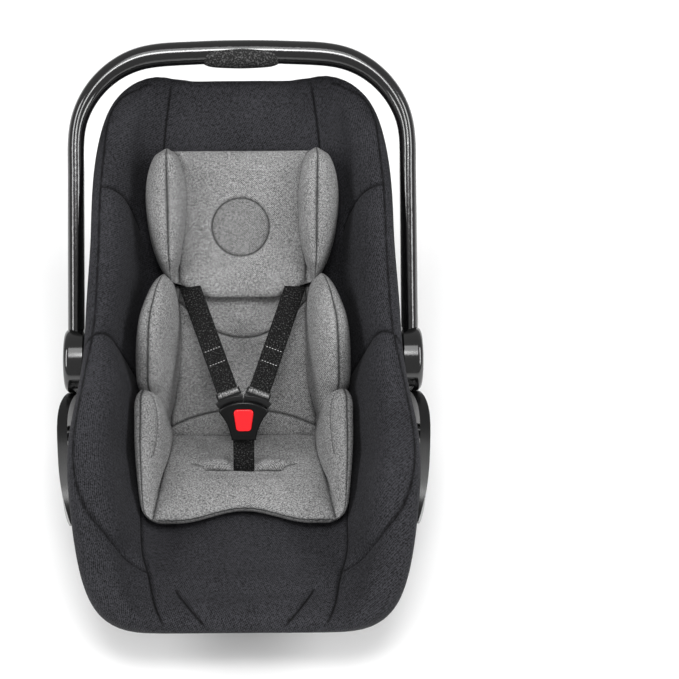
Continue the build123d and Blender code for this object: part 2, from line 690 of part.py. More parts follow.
# Tongues: a flat blade in the buckle, a head that follows its top edge and a framed bar for the strap
head_up = (buckle_up - strap_width * buckle_up.dot(strap_width)).normalized()
tongue_head = Plane(origin=bar_point, x_dir=strap_width, z_dir=strap_width.cross(head_up))
HEAD_HALF = WEBBING_WIDTH / 2 + 2.2
cheek_x = HEAD_HALF - 0.8
FRAME_DROP = 5.6
FRAME_BAR = 2.2
frame_piece = Pos(0, -FRAME_DROP, 0) * Box(2 * HEAD_HALF, FRAME_BAR, 4)
for side in (-1, 1):
    frame_piece = frame_piece + Pos(side * cheek_x, -FRAME_DROP / 2 + 0.4, 0) * Box(1.6, FRAME_DROP + 3, 4)
frame_piece = frame_piece + Rot(0, 90, 0) * Cylinder(BAR_RADIUS, 2 * HEAD_HALF)
blade = Pos(TONGUE_X, blade_middle, TONGUE_LEVEL) * Box(TONGUE_WIDTH, blade_length, TONGUE_THICK)
HEAD_THICK = 4.8
head_ring = Circle(BUCKLE_ARC + 6.8) - Circle(BUCKLE_ARC + 0.8)
head_wedge = make_face(Polyline((0.7, 1), (54, 70), (0.7, 70), (0.7, 1)))
head_plate = extrude(Pos(0, 0, TONGUE_LEVEL - HEAD_THICK / 2) * (head_ring & head_wedge), HEAD_THICK)
head_plate = fillet(head_plate.faces().sort_by(Axis.Z)[-1].edges(), 1)
save_pair("tongue", tongue_head * frame_piece + buckle_plane * (blade + head_plate))

# Three-bar slides that hold the strap ends behind the shell
SLIDE_DROP = 6.8
slide_plane = Plane(
    origin=back_plane.from_local_coords(Vector(SHOULDER_X, STRAP_Y, SHELL_SKIN - SLIDE_DROP)),
    x_dir=strap_width,
    z_dir=back_plane.z_dir,
)
slide = Box(38, 26, 3) - Box(WEBBING_WIDTH + 1.5, WEBBING_THICK + 1.4, 10)
slide = slide - [Pos(0, side * 8, 0) * Box(WEBBING_WIDTH + 1.5, 3, 10) for side in (-1, 1)]
save_pair("strap_slide", slide_plane * slide)

# Crotch strap: out of the buckle's foot, through the seat, to a plate under the shell
seat_skin = -(PAD_LIFT + SHELL_BACK * cos(SEAT_IN_TUB))
crotch_points = [
    buckle_plane.from_local_coords(Vector(0, 4, CROTCH_Z)),
    seat_plane.from_local_coords(Vector(0, SLIT_Y, 14)),
    seat_plane.from_local_coords(Vector(0, SLIT_Y, seat_skin - 12)),
]
save("crotch_strap", webbing(crotch_points, [9], ACROSS))
anchor = Box(48, 28, 3) - Box(WEBBING_WIDTH + 1.5, WEBBING_THICK + 1.4, 10)
save("crotch_anchor", seat_plane * Pos(0, SLIT_Y, seat_skin - 2.6) * anchor)

# Rear guide for the shoulder belt, screwed to the back of the shell
GUIDE_HALF = 44.0
GUIDE_SKIN = SHELL_SKIN - 0.4
GUIDE_RUN = (224.0, 280.0)
GUIDE_LIP = 232.0
GUIDE_BASE = 4.0
GUIDE_GAP = 14.0
GUIDE_ARM = 5.0
GUIDE_BEND = 7.0
guide_foot = back_plane.from_local_coords(Vector(-GUIDE_HALF, 0, GUIDE_SKIN))
guide_side = Plane(origin=guide_foot, x_dir=BACK_DIR, z_dir=ACROSS)
guide_outline = make_face(
    FilletPolyline(
        (GUIDE_RUN[0], 0),
        (GUIDE_RUN[1], 0),
        (GUIDE_RUN[1], -GUIDE_BASE - GUIDE_GAP - GUIDE_ARM),
        (GUIDE_LIP, -GUIDE_BASE - GUIDE_GAP - GUIDE_ARM),
        (GUIDE_LIP, -GUIDE_BASE - GUIDE_GAP),
        (GUIDE_RUN[1] - GUIDE_BEND, -GUIDE_BASE - GUIDE_GAP),
        (GUIDE_RUN[1] - GUIDE_BEND, -GUIDE_BASE),
        (GUIDE_RUN[0], -GUIDE_BASE),
        radius=1.5,
        close=True,
    )
)
guide = extrude(guide_side * guide_outline, 2 * GUIDE_HALF)
save("rear_belt_guide", guide - guide_screw_holes)
head_top = GUIDE_SKIN - GUIDE_BASE
screws = [
    guide_screw(x, y, SCREW_HEAD[0], head_top - SCREW_HEAD[1], head_top)
    + guide_screw(x, y, SCREW_RADIUS, head_top, SHELL_SKIN + 3)
    for x, y in GUIDE_SCREWS
]
save("guide_screws", Compound(children=screws))
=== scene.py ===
import math
import bpy
import numpy as np
from mathutils import Matrix, Vector


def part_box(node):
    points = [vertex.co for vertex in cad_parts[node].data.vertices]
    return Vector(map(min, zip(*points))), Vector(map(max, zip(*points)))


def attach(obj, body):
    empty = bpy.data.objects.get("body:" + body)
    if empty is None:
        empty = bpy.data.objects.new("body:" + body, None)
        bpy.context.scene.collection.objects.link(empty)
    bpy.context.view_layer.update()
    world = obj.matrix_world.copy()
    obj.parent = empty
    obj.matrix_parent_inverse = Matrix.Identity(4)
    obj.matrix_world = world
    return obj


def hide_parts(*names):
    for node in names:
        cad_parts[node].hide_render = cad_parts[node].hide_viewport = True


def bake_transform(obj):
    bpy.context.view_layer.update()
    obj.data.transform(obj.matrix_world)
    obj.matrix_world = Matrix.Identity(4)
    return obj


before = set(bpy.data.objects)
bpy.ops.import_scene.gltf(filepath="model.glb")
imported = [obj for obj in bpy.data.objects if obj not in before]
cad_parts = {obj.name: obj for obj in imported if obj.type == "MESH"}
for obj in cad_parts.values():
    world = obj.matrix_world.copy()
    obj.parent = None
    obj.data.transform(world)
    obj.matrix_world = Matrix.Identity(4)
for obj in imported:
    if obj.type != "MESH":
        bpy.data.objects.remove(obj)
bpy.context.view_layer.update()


# Tub shell with its rocker runners, hub sockets, belt lobes and rear belt guide: black polypropylene
# mouldings with a fine spark-eroded grain. Sockets and lobes grow out of the shell; screws hold the guide.
class Wire:
    """A value inside a finish: arithmetic on it adds Math nodes to that finish."""

    def __init__(self, tree, socket):
        self.tree = tree
        self.socket = socket

    def node(self, kind, settings, sockets, output=0):
        made = self.tree.nodes.new(kind)
        for key, value in settings.items():
            if key == "stops":
                for stop, (place, colour) in zip(made.color_ramp.elements, value):
                    stop.position = place
                    stop.color = colour
            else:
                setattr(made, key, value)
        for key, value in sockets.items():
            if isinstance(value, Wire):
                self.tree.links.new(value.socket, made.inputs[key])
            else:
                made.inputs[key].default_value = value
        return Wire(self.tree, made.outputs[output])

    def maths(self, operation, first, second):
        return self.node("ShaderNodeMath", {"operation": operation}, {0: first, 1: second})

    def __add__(self, other):
        return self.maths("ADD", self, other)

    def __sub__(self, other):
        return self.maths("SUBTRACT", self, other)

    def __rsub__(self, other):
        return self.maths("SUBTRACT", other, self)

    def __mul__(self, other):
        return self.maths("MULTIPLY", self, other)

    __radd__ = __add__
    __rmul__ = __mul__

    def between(self, first, second):
        """A colour that goes from the first to the second as this value goes from 0 to 1."""
        return self.node("ShaderNodeMix", {"data_type": "RGBA"}, {0: self, 6: first, 7: second}, 2)

    def noise(self, scale, detail):
        return self.node("ShaderNodeTexNoise", {}, {"Vector": self, "Scale": scale, "Detail": detail})

    def feeds(self, node, name):
        self.tree.links.new(self.socket, node.inputs[name])

    def raises(self, skin, strength, depth):
        """Lets the surface stand out where this value is high."""
        relief = {"Strength": strength, "Distance": depth, "Height": self}
        self.node("ShaderNodeBump", {}, relief).feeds(skin, "Normal")


def new_finish(name, fixed):
    """A material, its Object coordinates, and its surface node with the fixed sockets set."""
    material = bpy.data.materials.new(name)
    material.use_nodes = True
    tree = material.node_tree
    skin = tree.nodes["Principled BSDF"]
    for key, value in fixed.items():
        skin.inputs[key].default_value = value
    place = Wire(tree, tree.nodes.new("ShaderNodeTexCoord").outputs["Object"])
    return material, place, skin


def grey(level, tint=1.0):
    return (level, level, level * tint, 1.0)


def toned(colour, share):
    """The same colour, darker or lighter by a share."""
    return tuple(min(1.0, share * channel) for channel in colour[:3]) + (1.0,)


def moulding(name, colour, roughness, grain, depth, fixed=()):
    """Moulded plastic: faint flow marks in colour and gloss, and a fine eroded grain."""
    material, place, skin = new_finish(name, dict(fixed))
    flow = place.noise(9.0, 4.0)
    pits = place.noise(1 / grain, 2.0)
    flow.between(colour, toned(colour, 1.35)).feeds(skin, "Base Color")
    (roughness + 0.16 * (flow - 0.5) + 0.08 * (pits - 0.5)).feeds(skin, "Roughness")
    pits.raises(skin, 0.35, depth)
    return material


def dress(material, *nodes):
    for node in nodes:
        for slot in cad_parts[node].material_slots:
            slot.material = material


def both(*names):
    return [f"{name}_{side}" for name in names for side in ("left", "right")]


shell_plastic = moulding("grained_black_plastic", grey(0.02, 1.06), roughness=0.5, grain=0.0011, depth=0.0003)
dress(shell_plastic, "shell", "rear_belt_guide", *both("pivot_socket"))
lobe_plastic = moulding(
    "smooth_black_plastic", grey(0.003, 1.06), roughness=0.2, grain=0.0011, depth=0.00003,
    fixed={"Specular IOR Level": 0.5},
)
dress(lobe_plastic, *both("belt_lobe"))


# Zinc-plated fasteners and slides: pivot bolts, guide screws, strap slides, crotch plate and latch.
# Stamped or turned steel with a faint brushed grain; most of them sit inside the hubs and the buckle.
def plated_steel(name, colour, roughness):
    material, place, skin = new_finish(name, {"Metallic": 1.0})
    streaks = place.node("ShaderNodeMapping", {}, {"Vector": place, "Scale": (60.0, 900.0, 900.0)})
    brushed = streaks.noise(1.0, 3.0)
    brushed.between(toned(colour, 0.72), colour).feeds(skin, "Base Color")
    (roughness + 0.2 * (brushed - 0.5)).feeds(skin, "Roughness")
    return material


zinc = plated_steel("zinc_plated_steel", (0.62, 0.62, 0.6, 1.0), 0.35)
dress(zinc, "guide_screws", "crotch_anchor", "buckle_latch")
dress(zinc, *both("pivot_bolt", "strap_slide"))


# Foam liner: a shell of moulded bead foam that lies between the plastic tub and the fabric cover.
# It is pressed in and held by the cover; only its slot edges can be seen.
def bead_foam():
    material, place, skin = new_finish("bead_foam", {})
    beads = place.node("ShaderNodeTexVoronoi", {}, {"Vector": place, "Scale": 260.0})
    (1.6 * beads).between(grey(0.74), grey(0.52)).feeds(skin, "Base Color")
    (0.7 + 0.2 * beads).feeds(skin, "Roughness")
    beads.raises(skin, 0.5, 0.001)
    return material


dress(bead_foam(), "foam_liner")


# Seat cover: black twill over thin wadding, cut in panels and sewn, drawn over the rim of the tub and
# hooked below it by a turned hem. Side panels are stuffed fuller beside the legs and the head.
MM = 0.001
RIM_TILT = math.radians(19)
RIM_MIDDLE = np.array((0.0, -8.5, 243.0))
ALONG_RIM = np.array((0.0, math.cos(RIM_TILT), math.sin(RIM_TILT)))
OFF_RIM = np.array((0.0, -math.sin(RIM_TILT), math.cos(RIM_TILT)))
HALF_LENGTH = 338.0
RIM_HALF_WIDTH = 183
HEAD_TAPER = 5
LEG_BULGE = 8
HEAD_CORNER_POWER = 6
FRONT_CORNER_POWER = 7
HEAD_WING = 24
LEG_WING = 12
HUB_DIP = 4
FRONT_DROP = 14
HEAD_LIP = -1.2
FRONT_LIP = -7.6
FRONT_CAP = 20.0
FRONT_SOFTNESS = 5.0
CREASE_SOFTNESS = 14.0
BACK_IN_TUB = math.radians(25)
SEAT_IN_TUB = math.radians(34.5)
FLOOR_SHARE = 0.57
RIM_ROLL = 26
HEM_DEPTH = 26.0
HEM_TUCK = 1.5
END_LIFT = 1.6
COVER_BACK = 5
SHELL_LEDGE = 7.7
SHELL_EDGE_IN = 4.2
END_SPREAD = 20
END_DEPTH = 24.5


def bell(gap, spread):
    return np.exp(-((gap / spread) ** 2))


def ease(share):
    share = np.clip(share, 0.0, 1.0)
    return share * share * (3 - 2 * share)


def larger(a, b, softness):
    return 0.5 * (a + b + math.sqrt((a - b) ** 2 + 4 * softness**2))


def rim_half(t):
    """Half width over the covered rim at a place along the tub."""
    power = HEAD_CORNER_POWER if t > 0 else FRONT_CORNER_POWER
    full = RIM_HALF_WIDTH - HEAD_TAPER * float(ease((t - 20) / 120)) + LEG_BULGE * bell(t + 119, 75)
    return full * (1 - abs(t / HALF_LENGTH) ** power) ** (1 / power)


def rim_top(t):
    """Height of the covered rim: it rises beside head and legs, dips at the hubs and drops at the front."""
    wings = HEAD_WING * bell(t - 171, 95) + LEG_WING * bell(t + 159, 75) - HUB_DIP * bell(t - 1, 40)
    return wings - FRONT_DROP * max(0.0, (-t - 230) / 108) ** 2


def lying_face(t):
    """Back and seat of the tub, meeting in a soft crease; the seat levels out at the front lip."""
    back = HEAD_LIP - (HALF_LENGTH - t) * math.tan(BACK_IN_TUB)
    seat = FRONT_LIP - (t + HALF_LENGTH) * math.tan(SEAT_IN_TUB)
    return larger(back, -larger(-seat, FRONT_CAP, FRONT_SOFTNESS), CREASE_SOFTNESS) - 1


def wall_line(rim, base, top, bottom):
    """Right half of a tub section, from the rim down the wall to the middle of the floor."""
    points = []
    for q in (0.0, 0.25, 0.5, 0.75, 0.92, 1.0):
        points.append((rim - (rim - base) * (0.62 * q + 0.38 * q**6), top - (top - bottom) * q))
    return points + [(0.5 * base, bottom), (0.0, bottom)]


def run_of(line):
    """The length of a line up to each of its points."""
    return np.concatenate([[0], np.cumsum(np.linalg.norm(np.diff(line, axis=0), axis=1))])


def even_points(line, count):
    """Points at even steps along a flat line."""
    run = run_of(line)
    at = np.linspace(0, run[-1], count)
    return np.stack([np.interp(at, run, line[:, k]) for k in (0, 1)], axis=1)


def smooth_line(points, count):
    """A natural cubic through the points, stepped evenly along its chords."""
    p = np.array(points, float)
    knots = run_of(p)
    n = len(p)
    step = np.diff(knots)
    system = np.eye(n)
    right = np.zeros_like(p)
    for i in range(1, n - 1):
        system[i, i - 1 : i + 2] = step[i - 1], 2 * (step[i - 1] + step[i]), step[i]
        right[i] = 6 * ((p[i + 1] - p[i]) / step[i] - (p[i] - p[i - 1]) / step[i - 1])
    bend = np.linalg.solve(system, right)
    x = np.linspace(0, knots[-1], count)
    i = np.clip(np.searchsorted(knots, x) - 1, 0, n - 2)
    a = ((knots[i + 1] - x) / step[i])[:, None]
    b = 1 - a
    sixth = (step[i] ** 2 / 6)[:, None]
    return a * p[i] + b * p[i + 1] + ((a**3 - a) * bend[i] + (b**3 - b) * bend[i + 1]) * sixth


def mirrored(right):
    return right + [(-u, w) for u, w in reversed(right[:-1])]


FACE_STEPS = 441
BACK_STEPS = 61


def cover_face(t, sink):
    """Section of the cover's outer face, from the right hem over the rim and down to the left hem."""
    outer = rim_half(t)
    depth = rim_top(t) - lying_face(t)
    top = rim_top(t) - sink
    hem = HEM_DEPTH - END_LIFT * sink
    roll = [(outer - HEM_TUCK, top - hem), (outer, top - 0.42 * hem), (outer - 11, top)]
    roll.append((outer - 21, top - 6 * depth / (depth + 14)))
    wall = wall_line(outer - RIM_ROLL, FLOOR_SHARE * outer, top, lying_face(t) - sink)
    return smooth_line(mirrored(roll + wall[1:]), FACE_STEPS)


def cover_back(t, sink, past_shell):
    """Section of the cover's hidden side, from the left hem to the right hem."""
    outer = rim_half(t)
    base = FLOOR_SHARE * outer
    hem_edge = rim_top(t) - HEM_DEPTH
    if past_shell:
        hem_edge = hem_edge + (END_LIFT - 1) * sink
        under = wall_line(outer - HEM_TUCK, base + END_SPREAD, hem_edge, lying_face(t) - END_DEPTH + sink)
    else:
        ledge = rim_top(t) - SHELL_LEDGE
        edge = outer - SHELL_EDGE_IN
        rim = outer - RIM_ROLL + COVER_BACK
        inner = wall_line(rim, base + 0.8 * COVER_BACK, ledge, lying_face(t) - COVER_BACK)
        under = [(edge, hem_edge), (edge, ledge)] + inner
    return even_points(np.array(mirrored(under)), BACK_STEPS)[::-1]


def in_tub(t, section):
    return RIM_MIDDLE + np.outer(section[:, 0], (1, 0, 0)) + ALONG_RIM * t + np.outer(section[:, 1], OFF_RIM)


SHELL_REACH = 324
rows = [(t, 0.0, False) for t in np.linspace(-SHELL_REACH, SHELL_REACH, 300)]
END_ROUND = ((324.05, 0.0), (327, 0.6), (330.5, 2.0), (333.5, 4.2), (335.6, 7.0), (336.6, 9.6), (336.9, 11.4))
rows = [(-t, s, True) for t, s in reversed(END_ROUND)] + rows + [(t, s, True) for t, s in END_ROUND]
faces_of_rows = [cover_face(t, s) for t, s, _ in rows]
face = np.array([in_tub(t, line) for (t, _, _), line in zip(rows, faces_of_rows)])
hidden = np.array([in_tub(t, cover_back(t, s, past)) for t, s, past in rows])
row_t = np.array([t for t, _, _ in rows])

# Panel lines on the cover's right half, as (along the rim, out from the middle)
RIM_SEAM = (
    (322, 112), (300, 150), (239, 164), (171, 167), (113, 168), (57, 170), (20, 172), (-20, 177),
    (-80, 183), (-142, 183), (-197, 172), (-233, 154), (-250, 134), (-260, 116), (-264, 108),
)
HEAD_PANEL = ((337, 84), (302, 90), (262, 96), (215, 99))
HEAD_DART = ((182, 167), (181, 148), (174, 133), (160, 124))
BOLSTER_TOP = ((-7, 183), (4, 172), (9, 160), (5, 143), (-8, 128))
FRONT_PANEL = ((-170, 122), (-193, 120), (-240, 115), (-270, 107), (-303, 100), (-336, 88))
FRONT_DART = ((-286, 77), (-316, 57), (-336, 41))


def on_cover(t, u):
    """The point of the cover's face at a place along the rim and a distance out from the middle."""
    i = int(np.clip(np.searchsorted(row_t, t), 0, len(rows) - 1))
    half = faces_of_rows[i][: FACE_STEPS // 2 + 1]
    inward = half[int(np.argmax(half[:, 0])) :]
    w = np.interp(u, inward[::-1, 0], inward[::-1, 1])
    return RIM_MIDDLE + np.array((u, 0, 0)) + ALONG_RIM * t + OFF_RIM * w


def panel_line(seam, side, count=320):
    flat = smooth_line(seam, count)
    return np.array([on_cover(t, u) for t, u in flat]) * np.array((side, 1, 1))


FAR = 60.0


def far_from(points, line):
    """Distance from each point to the nearest point of a line, up to a limit."""
    nearest = np.full(len(points), FAR)
    around = np.all((points > line.min(axis=0) - FAR) & (points < line.max(axis=0) + FAR), axis=1)
    near = points[around]
    best = np.full(len(near), FAR)
    for start in range(0, len(line), 20):
        gaps = np.linalg.norm(near[:, None, :] - line[None, start : start + 20, :], axis=2)
        best = np.minimum(best, gaps.min(axis=1))
    nearest[around] = best
    return nearest


def surface_normals(grid):
    along = np.gradient(grid, axis=0)
    across = np.gradient(grid, axis=1)
    normals = np.cross(across, along)
    return normals / np.maximum(np.linalg.norm(normals, axis=2, keepdims=True), 1e-9)


cover_normals = surface_normals(face)
if cover_normals[len(rows) // 2, FACE_STEPS // 2, 2] < 0:
    cover_normals = -cover_normals
flat_face = face.reshape(-1, 3)
SEAM_WIDTH = 1.6
sewn = np.zeros(len(flat_face))
puff = np.full(len(flat_face), FAR)
for side in (-1, 1):
    for seam in (RIM_SEAM, HEAD_PANEL, HEAD_DART, BOLSTER_TOP, FRONT_PANEL, FRONT_DART):
        gap = far_from(flat_face, panel_line(seam, side))
        sewn = np.maximum(sewn, bell(gap, SEAM_WIDTH))
        puff = np.minimum(puff, gap)
t_grid = np.repeat(row_t, FACE_STEPS)
sewn = sewn * ease((335 - np.abs(t_grid)) / 8) * (1 - 0.4 * ease((t_grid - 314) / 10))
section_grid = np.concatenate(faces_of_rows)
u_grid, w_grid = section_grid[:, 0], section_grid[:, 1]
top_grid = np.repeat([rim_top(t) for t in row_t], FACE_STEPS)
floor_grid = np.repeat([lying_face(t) for t in row_t], FACE_STEPS)
outer_grid = np.repeat([rim_half(t) for t in row_t], FACE_STEPS)
wall_share = np.clip((top_grid - w_grid) / np.maximum(top_grid - floor_grid, 8), 0, 1)
inside = ease((outer_grid - np.abs(u_grid) - 7) / 14) * ease((337 - np.abs(t_grid)) / 14)
beside_legs = ease((t_grid + 262) / 60) * ease((2 - t_grid) / 34)
beside_head = ease((t_grid - 8) / 50) * ease((292 - t_grid) / 60)
LEG_BOLSTER = 7
HEAD_BOLSTER = 4
bolster = LEG_BOLSTER * beside_legs + HEAD_BOLSTER * beside_head
bolster = np.sin(np.pi * wall_share**0.6) * inside * bolster
QUILT_HEIGHT = 3.2
QUILT_SPREAD = 12
quilt = QUILT_HEIGHT * (1 - bell(puff, QUILT_SPREAD)) * inside
CREASE_DEPTH = 2.2
CREASE_WIDTH = 2.6
SEAM_DEPTH = 1.6
away_from_ends = ease((262 - t_grid) / 30) * ease((t_grid + 332) / 36)
groove = -(CREASE_DEPTH * bell(puff, CREASE_WIDTH) + SEAM_DEPTH * sewn) * inside * away_from_ends
drag = 0.8 * np.sin(t_grid / 17 + u_grid / 9) * np.sin(t_grid / 41 - u_grid / 23)
drag = drag + 0.35 * np.sin(t_grid / 7.3 - u_grid / 19) * np.sin(u_grid / 31)
front_fold = 2.2 * bell(t_grid + 276, 14) - 1.6 * bell(t_grid + 294, 6)
drag = drag + front_fold * ease((84 - np.abs(u_grid)) / 24)
HEAD_FILL = 1.6
head_pad = HEAD_FILL * ease((t_grid - 232) / 30) * inside
DEEPEST = -2.2  # a seam never reaches the cover's hidden side
lift = np.maximum(bolster + quilt + groove + drag * inside + head_pad, DEEPEST)
face = face + cover_normals * lift.reshape(face.shape[:2])[:, :, None]


HEAD_REACH = 5.0
EAR_REACH = 4.5
EAR_PLACE = 104
SIDE_REACH = 9.5


def head_stretch(t, u):
    """How far the stuffed head end reaches past the rim; most at its two ears."""
    spread = np.where(np.abs(u) < EAR_PLACE, 21, 36)
    ears = bell(np.abs(u) - EAR_PLACE, spread)
    return (HEAD_REACH + EAR_REACH * ears) * ease((t - 235) / 80)


head_pull = head_stretch(t_grid, u_grid)
side_roll = ease((np.abs(u_grid) - outer_grid + RIM_ROLL) / 18)
side_pull = SIDE_REACH * side_roll * bell(t_grid + 185, 108) * np.sign(u_grid)
pull = np.outer(head_pull, ALONG_RIM) + np.outer(side_pull, (1, 0, 0))
face = face + pull.reshape(face.shape)
past_rim = ease((row_t - 320) / 4)[:, None]
hidden = hidden + (past_rim * head_stretch(row_t[:, None], hidden[:, :, 0]))[:, :, None] * ALONG_RIM


def corner_points(mesh):
    """The vertex at each face corner of a mesh."""
    corners = np.zeros(len(mesh.loops), np.int32)
    mesh.loops.foreach_get("vertex_index", corners)
    return corners


def mark_seams(mesh, strength):
    # The seam value is painted into the colour: painted shade along seams and in the head pillow's patch, and
    # a pale fuzz with painted highlight on the webbing's turned end.
    marks = mesh.attributes.new("seam", "FLOAT", "POINT")
    marks.data.foreach_set("value", np.asarray(strength, np.float32))


def lay_map(mesh, name, corner_map):
    layer = mesh.uv_layers.new(name=name)
    layer.data.foreach_set("uv", (np.asarray(corner_map) * MM).astype(np.float32).ravel())


def put_in_scene(name, data):
    piece = bpy.data.objects.new(name, data)
    bpy.context.scene.collection.objects.link(piece)
    return piece


def mesh_piece(name, vertices, faces, material, corner_map):
    """A mesh object at the origin, from points in millimetres, with its cloth map at the face corners."""
    mesh = bpy.data.meshes.new(name)
    mesh.from_pydata((np.asarray(vertices) * MM).tolist(), [], faces)
    lay_map(mesh, "cloth", corner_map)
    mesh.shade_smooth()
    mesh.materials.append(material)
    return put_in_scene(name, mesh)


def grid_faces(row_count, column_count, closed):
    """Quads of a grid of points; a closed grid joins its last column to its first."""
    faces = []
    for i in range(row_count - 1):
        for j in range(column_count if closed else column_count - 1):
            k = (j + 1) % column_count
            a, b = i * column_count, (i + 1) * column_count
            faces.append((a + j, a + k, b + k, b + j))
    return faces


def cloth(name, dark, light, pitch, sheen, slope, fuzz):
    """Woven cloth: crossing yarns on the piece's cloth map, nap, uneven dye, and darker lines along the
    seams, partly thread and partly painted shade of the seam creases.
    """
    dull = {"Sheen Weight": sheen, "Sheen Roughness": 0.45, "Specular IOR Level": 0.12}
    material, place, skin = new_finish(name, dull)
    laid = place.node("ShaderNodeUVMap", {"uv_map": "cloth"}, {})
    turned = place.node("ShaderNodeMapping", {}, {"Vector": laid, "Rotation": (0.0, 0.0, slope)})
    yarn = {"Vector": turned, "Scale": 0.314 / pitch, "Distortion": 1.2, "Detail": 1.0, "Detail Scale": 2.0}
    warp = place.node("ShaderNodeTexWave", {"bands_direction": "X"}, yarn, 1)
    weft = place.node("ShaderNodeTexWave", {"bands_direction": "Y"}, yarn, 1)
    nap = place.noise(1 / pitch, 2.0)
    dye = place.noise(11.0, 4.0)
    weave = 0.17 * warp + 0.12 * weft + fuzz * nap
    shade = 0.1 + 2.4 * (weave - 0.5 * fuzz) + 0.35 * (dye - 0.5)
    seam = place.node("ShaderNodeAttribute", {"attribute_name": "seam"}, {}, 2)
    worn = shade.between(dark, light)
    # Painted shade: where the seam value is high the colour goes toward near-black; along seams this is
    # partly thread and partly the shade of their creases.
    (0.95 * seam).between(worn, toned(dark, 0.25)).feeds(skin, "Base Color")
    (0.95 - 0.18 * weave).feeds(skin, "Roughness")
    weave.raises(skin, 0.55, 0.0006)
    return material


cover_cloth = cloth(
    "black_twill", grey(0.004, 1.05), grey(0.050, 1.14), pitch=0.0020, sheen=0.015, slope=0.5, fuzz=0.7
)
ring = np.concatenate([face, hidden], axis=1)
loop_steps = ring.shape[1]
cover_faces = [tuple(reversed(f)) for f in grid_faces(len(rows), loop_steps, True)]
for i, forward in ((0, True), (len(rows) - 1, False)):
    start = i * loop_steps
    shares = np.linspace(0, 1, FACE_STEPS)
    partner = [FACE_STEPS + BACK_STEPS - 1 - int(round(s * (BACK_STEPS - 1))) for s in shares]
    for j in range(FACE_STEPS - 1):
        cap = [start + j, start + j + 1, start + partner[j + 1]]
        if partner[j] != partner[j + 1]:
            cap.append(start + partner[j])
        cover_faces.append(tuple(cap) if forward else tuple(reversed(cap)))
run_across = np.cumsum(np.linalg.norm(np.diff(ring, axis=1, prepend=ring[:, :1]), axis=2), axis=1)
run_across = run_across - run_across[:, FACE_STEPS // 2][:, None]
run_along = np.repeat(row_t[:, None], loop_steps, axis=1)
cover_map = np.stack([run_across, run_along], axis=2).reshape(-1, 2)
# The seam strength also darkens the cover's colour: painted shade along the seam lines, partly the thread.
seam_ring = np.concatenate([sewn.reshape(len(rows), -1), np.zeros((len(rows), BACK_STEPS))], axis=1)
cover_corners = [v for f in cover_faces for v in f]
cover = mesh_piece("padded_cover", ring.reshape(-1, 3), cover_faces, cover_cloth, cover_map[cover_corners])
mark_seams(cover.data, seam_ring.ravel())
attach(cover, "carrier")
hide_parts("seat_cover")


# Newborn insert: three loose cushions of grey air mesh over wadding, each sewn round its edge and along
# two lines, so that its sides stand up as wings. Head pillow with a round patch, back pad and seat pad.
def stand_up(x, seam, tilt, turn):
    """Where the cut lies across the cushion: flat to the seam, then bent up; gives x, rise and slope."""
    past = np.maximum(np.abs(x) - seam, 0)
    bent = np.minimum(past, turn * tilt)
    slope = bent / turn
    on = past - bent
    out = np.minimum(np.abs(x), seam) + turn * np.sin(slope) + on * math.cos(tilt)
    return np.sign(x) * out, turn * (1 - np.cos(slope)) + on * math.sin(tilt), slope


def full_round(share):
    return np.sqrt(1 - (1 - np.clip(share, 0, 1)) ** 2)


def even_widths(table, shares):
    line = smooth_line(table, 400)
    return np.interp(shares, line[:, 0], line[:, 1])


def stepped(line, step=1.2):
    """The same line with its points at a small even step."""
    line = np.asarray(line, float)
    return even_points(line, max(2, int(run_of(line)[-1] / step)))


def both_sides(line):
    line = np.asarray(line, float)
    return [line, line * (-1, 1)]


def vertex_rows(mesh, name):
    """Places or normals of a mesh's vertices, a row for each."""
    values = np.zeros(len(mesh.vertices) * 3)
    mesh.vertices.foreach_get(name, values)
    return values.reshape(-1, 3)


def evaluated(piece):
    return piece.evaluated_get(bpy.context.evaluated_depsgraph_get())


FILL_PRESSURE = 4.0
FILL_FRAMES = 20


def fill_case(piece, edge, cap):
    """Blows the case up with cloth pressure; its sewn edge stays, and no point moves more than the cap."""
    rest = vertex_rows(piece.data, "co")
    filling = piece.modifiers.new("filling", "CLOTH")
    filling.settings.use_pressure = True
    filling.settings.uniform_pressure_force = FILL_PRESSURE
    filling.settings.effector_weights.gravity = 0.0
    sewn_edge = piece.vertex_groups.new(name="sewn_edge")
    sewn_edge.add(edge.tolist(), 1.0, "REPLACE")
    filling.settings.vertex_group_mass = "sewn_edge"
    filling.collision_settings.use_collision = False
    scene = bpy.context.scene
    for step in range(1, FILL_FRAMES + 1):
        scene.frame_set(step)
    shift = vertex_rows(evaluated(piece).data, "co") - rest
    piece.modifiers.remove(filling)
    piece.vertex_groups.remove(sewn_edge)
    scene.frame_set(1)
    reach = np.maximum(np.linalg.norm(shift, axis=1, keepdims=True), 1e-9)
    held = shift * np.minimum(1, cap * MM / reach)
    piece.data.vertices.foreach_set("co", (rest + held).ravel())
    piece.data.update()


def refine(piece, levels):
    """Subdivides a piece and keeps the result as its plain mesh."""
    finer = piece.modifiers.new("finer", "SUBSURF")
    finer.levels = levels
    finer.render_levels = levels
    baked = bpy.data.meshes.new_from_object(evaluated(piece))
    piece.modifiers.remove(finer)
    baked.name = piece.name
    piece.data = baked


def vertex_map(mesh):
    """The flat cut of a cushion, as millimetres at each vertex."""
    uv = np.zeros(len(mesh.loops) * 2, np.float32)
    mesh.uv_layers["cut"].data.foreach_get("uv", uv)
    place = np.zeros((len(mesh.vertices), 2))
    place[corner_points(mesh)] = uv.reshape(-1, 2) / MM
    return place


BACK_SIDE = 2000.0


def on_sheet(sheet):
    """Lengths measured on a shaped sheet, across and along from its middle."""
    across = np.cumsum(np.linalg.norm(np.diff(sheet, axis=1, prepend=sheet[:, :1]), axis=2), axis=1)
    along = np.cumsum(np.linalg.norm(np.diff(sheet, axis=0, prepend=sheet[:1]), axis=2), axis=0)
    middle = sheet.shape[1] // 2
    return np.stack([across - across[:, middle : middle + 1], along], axis=2).reshape(-1, 2)


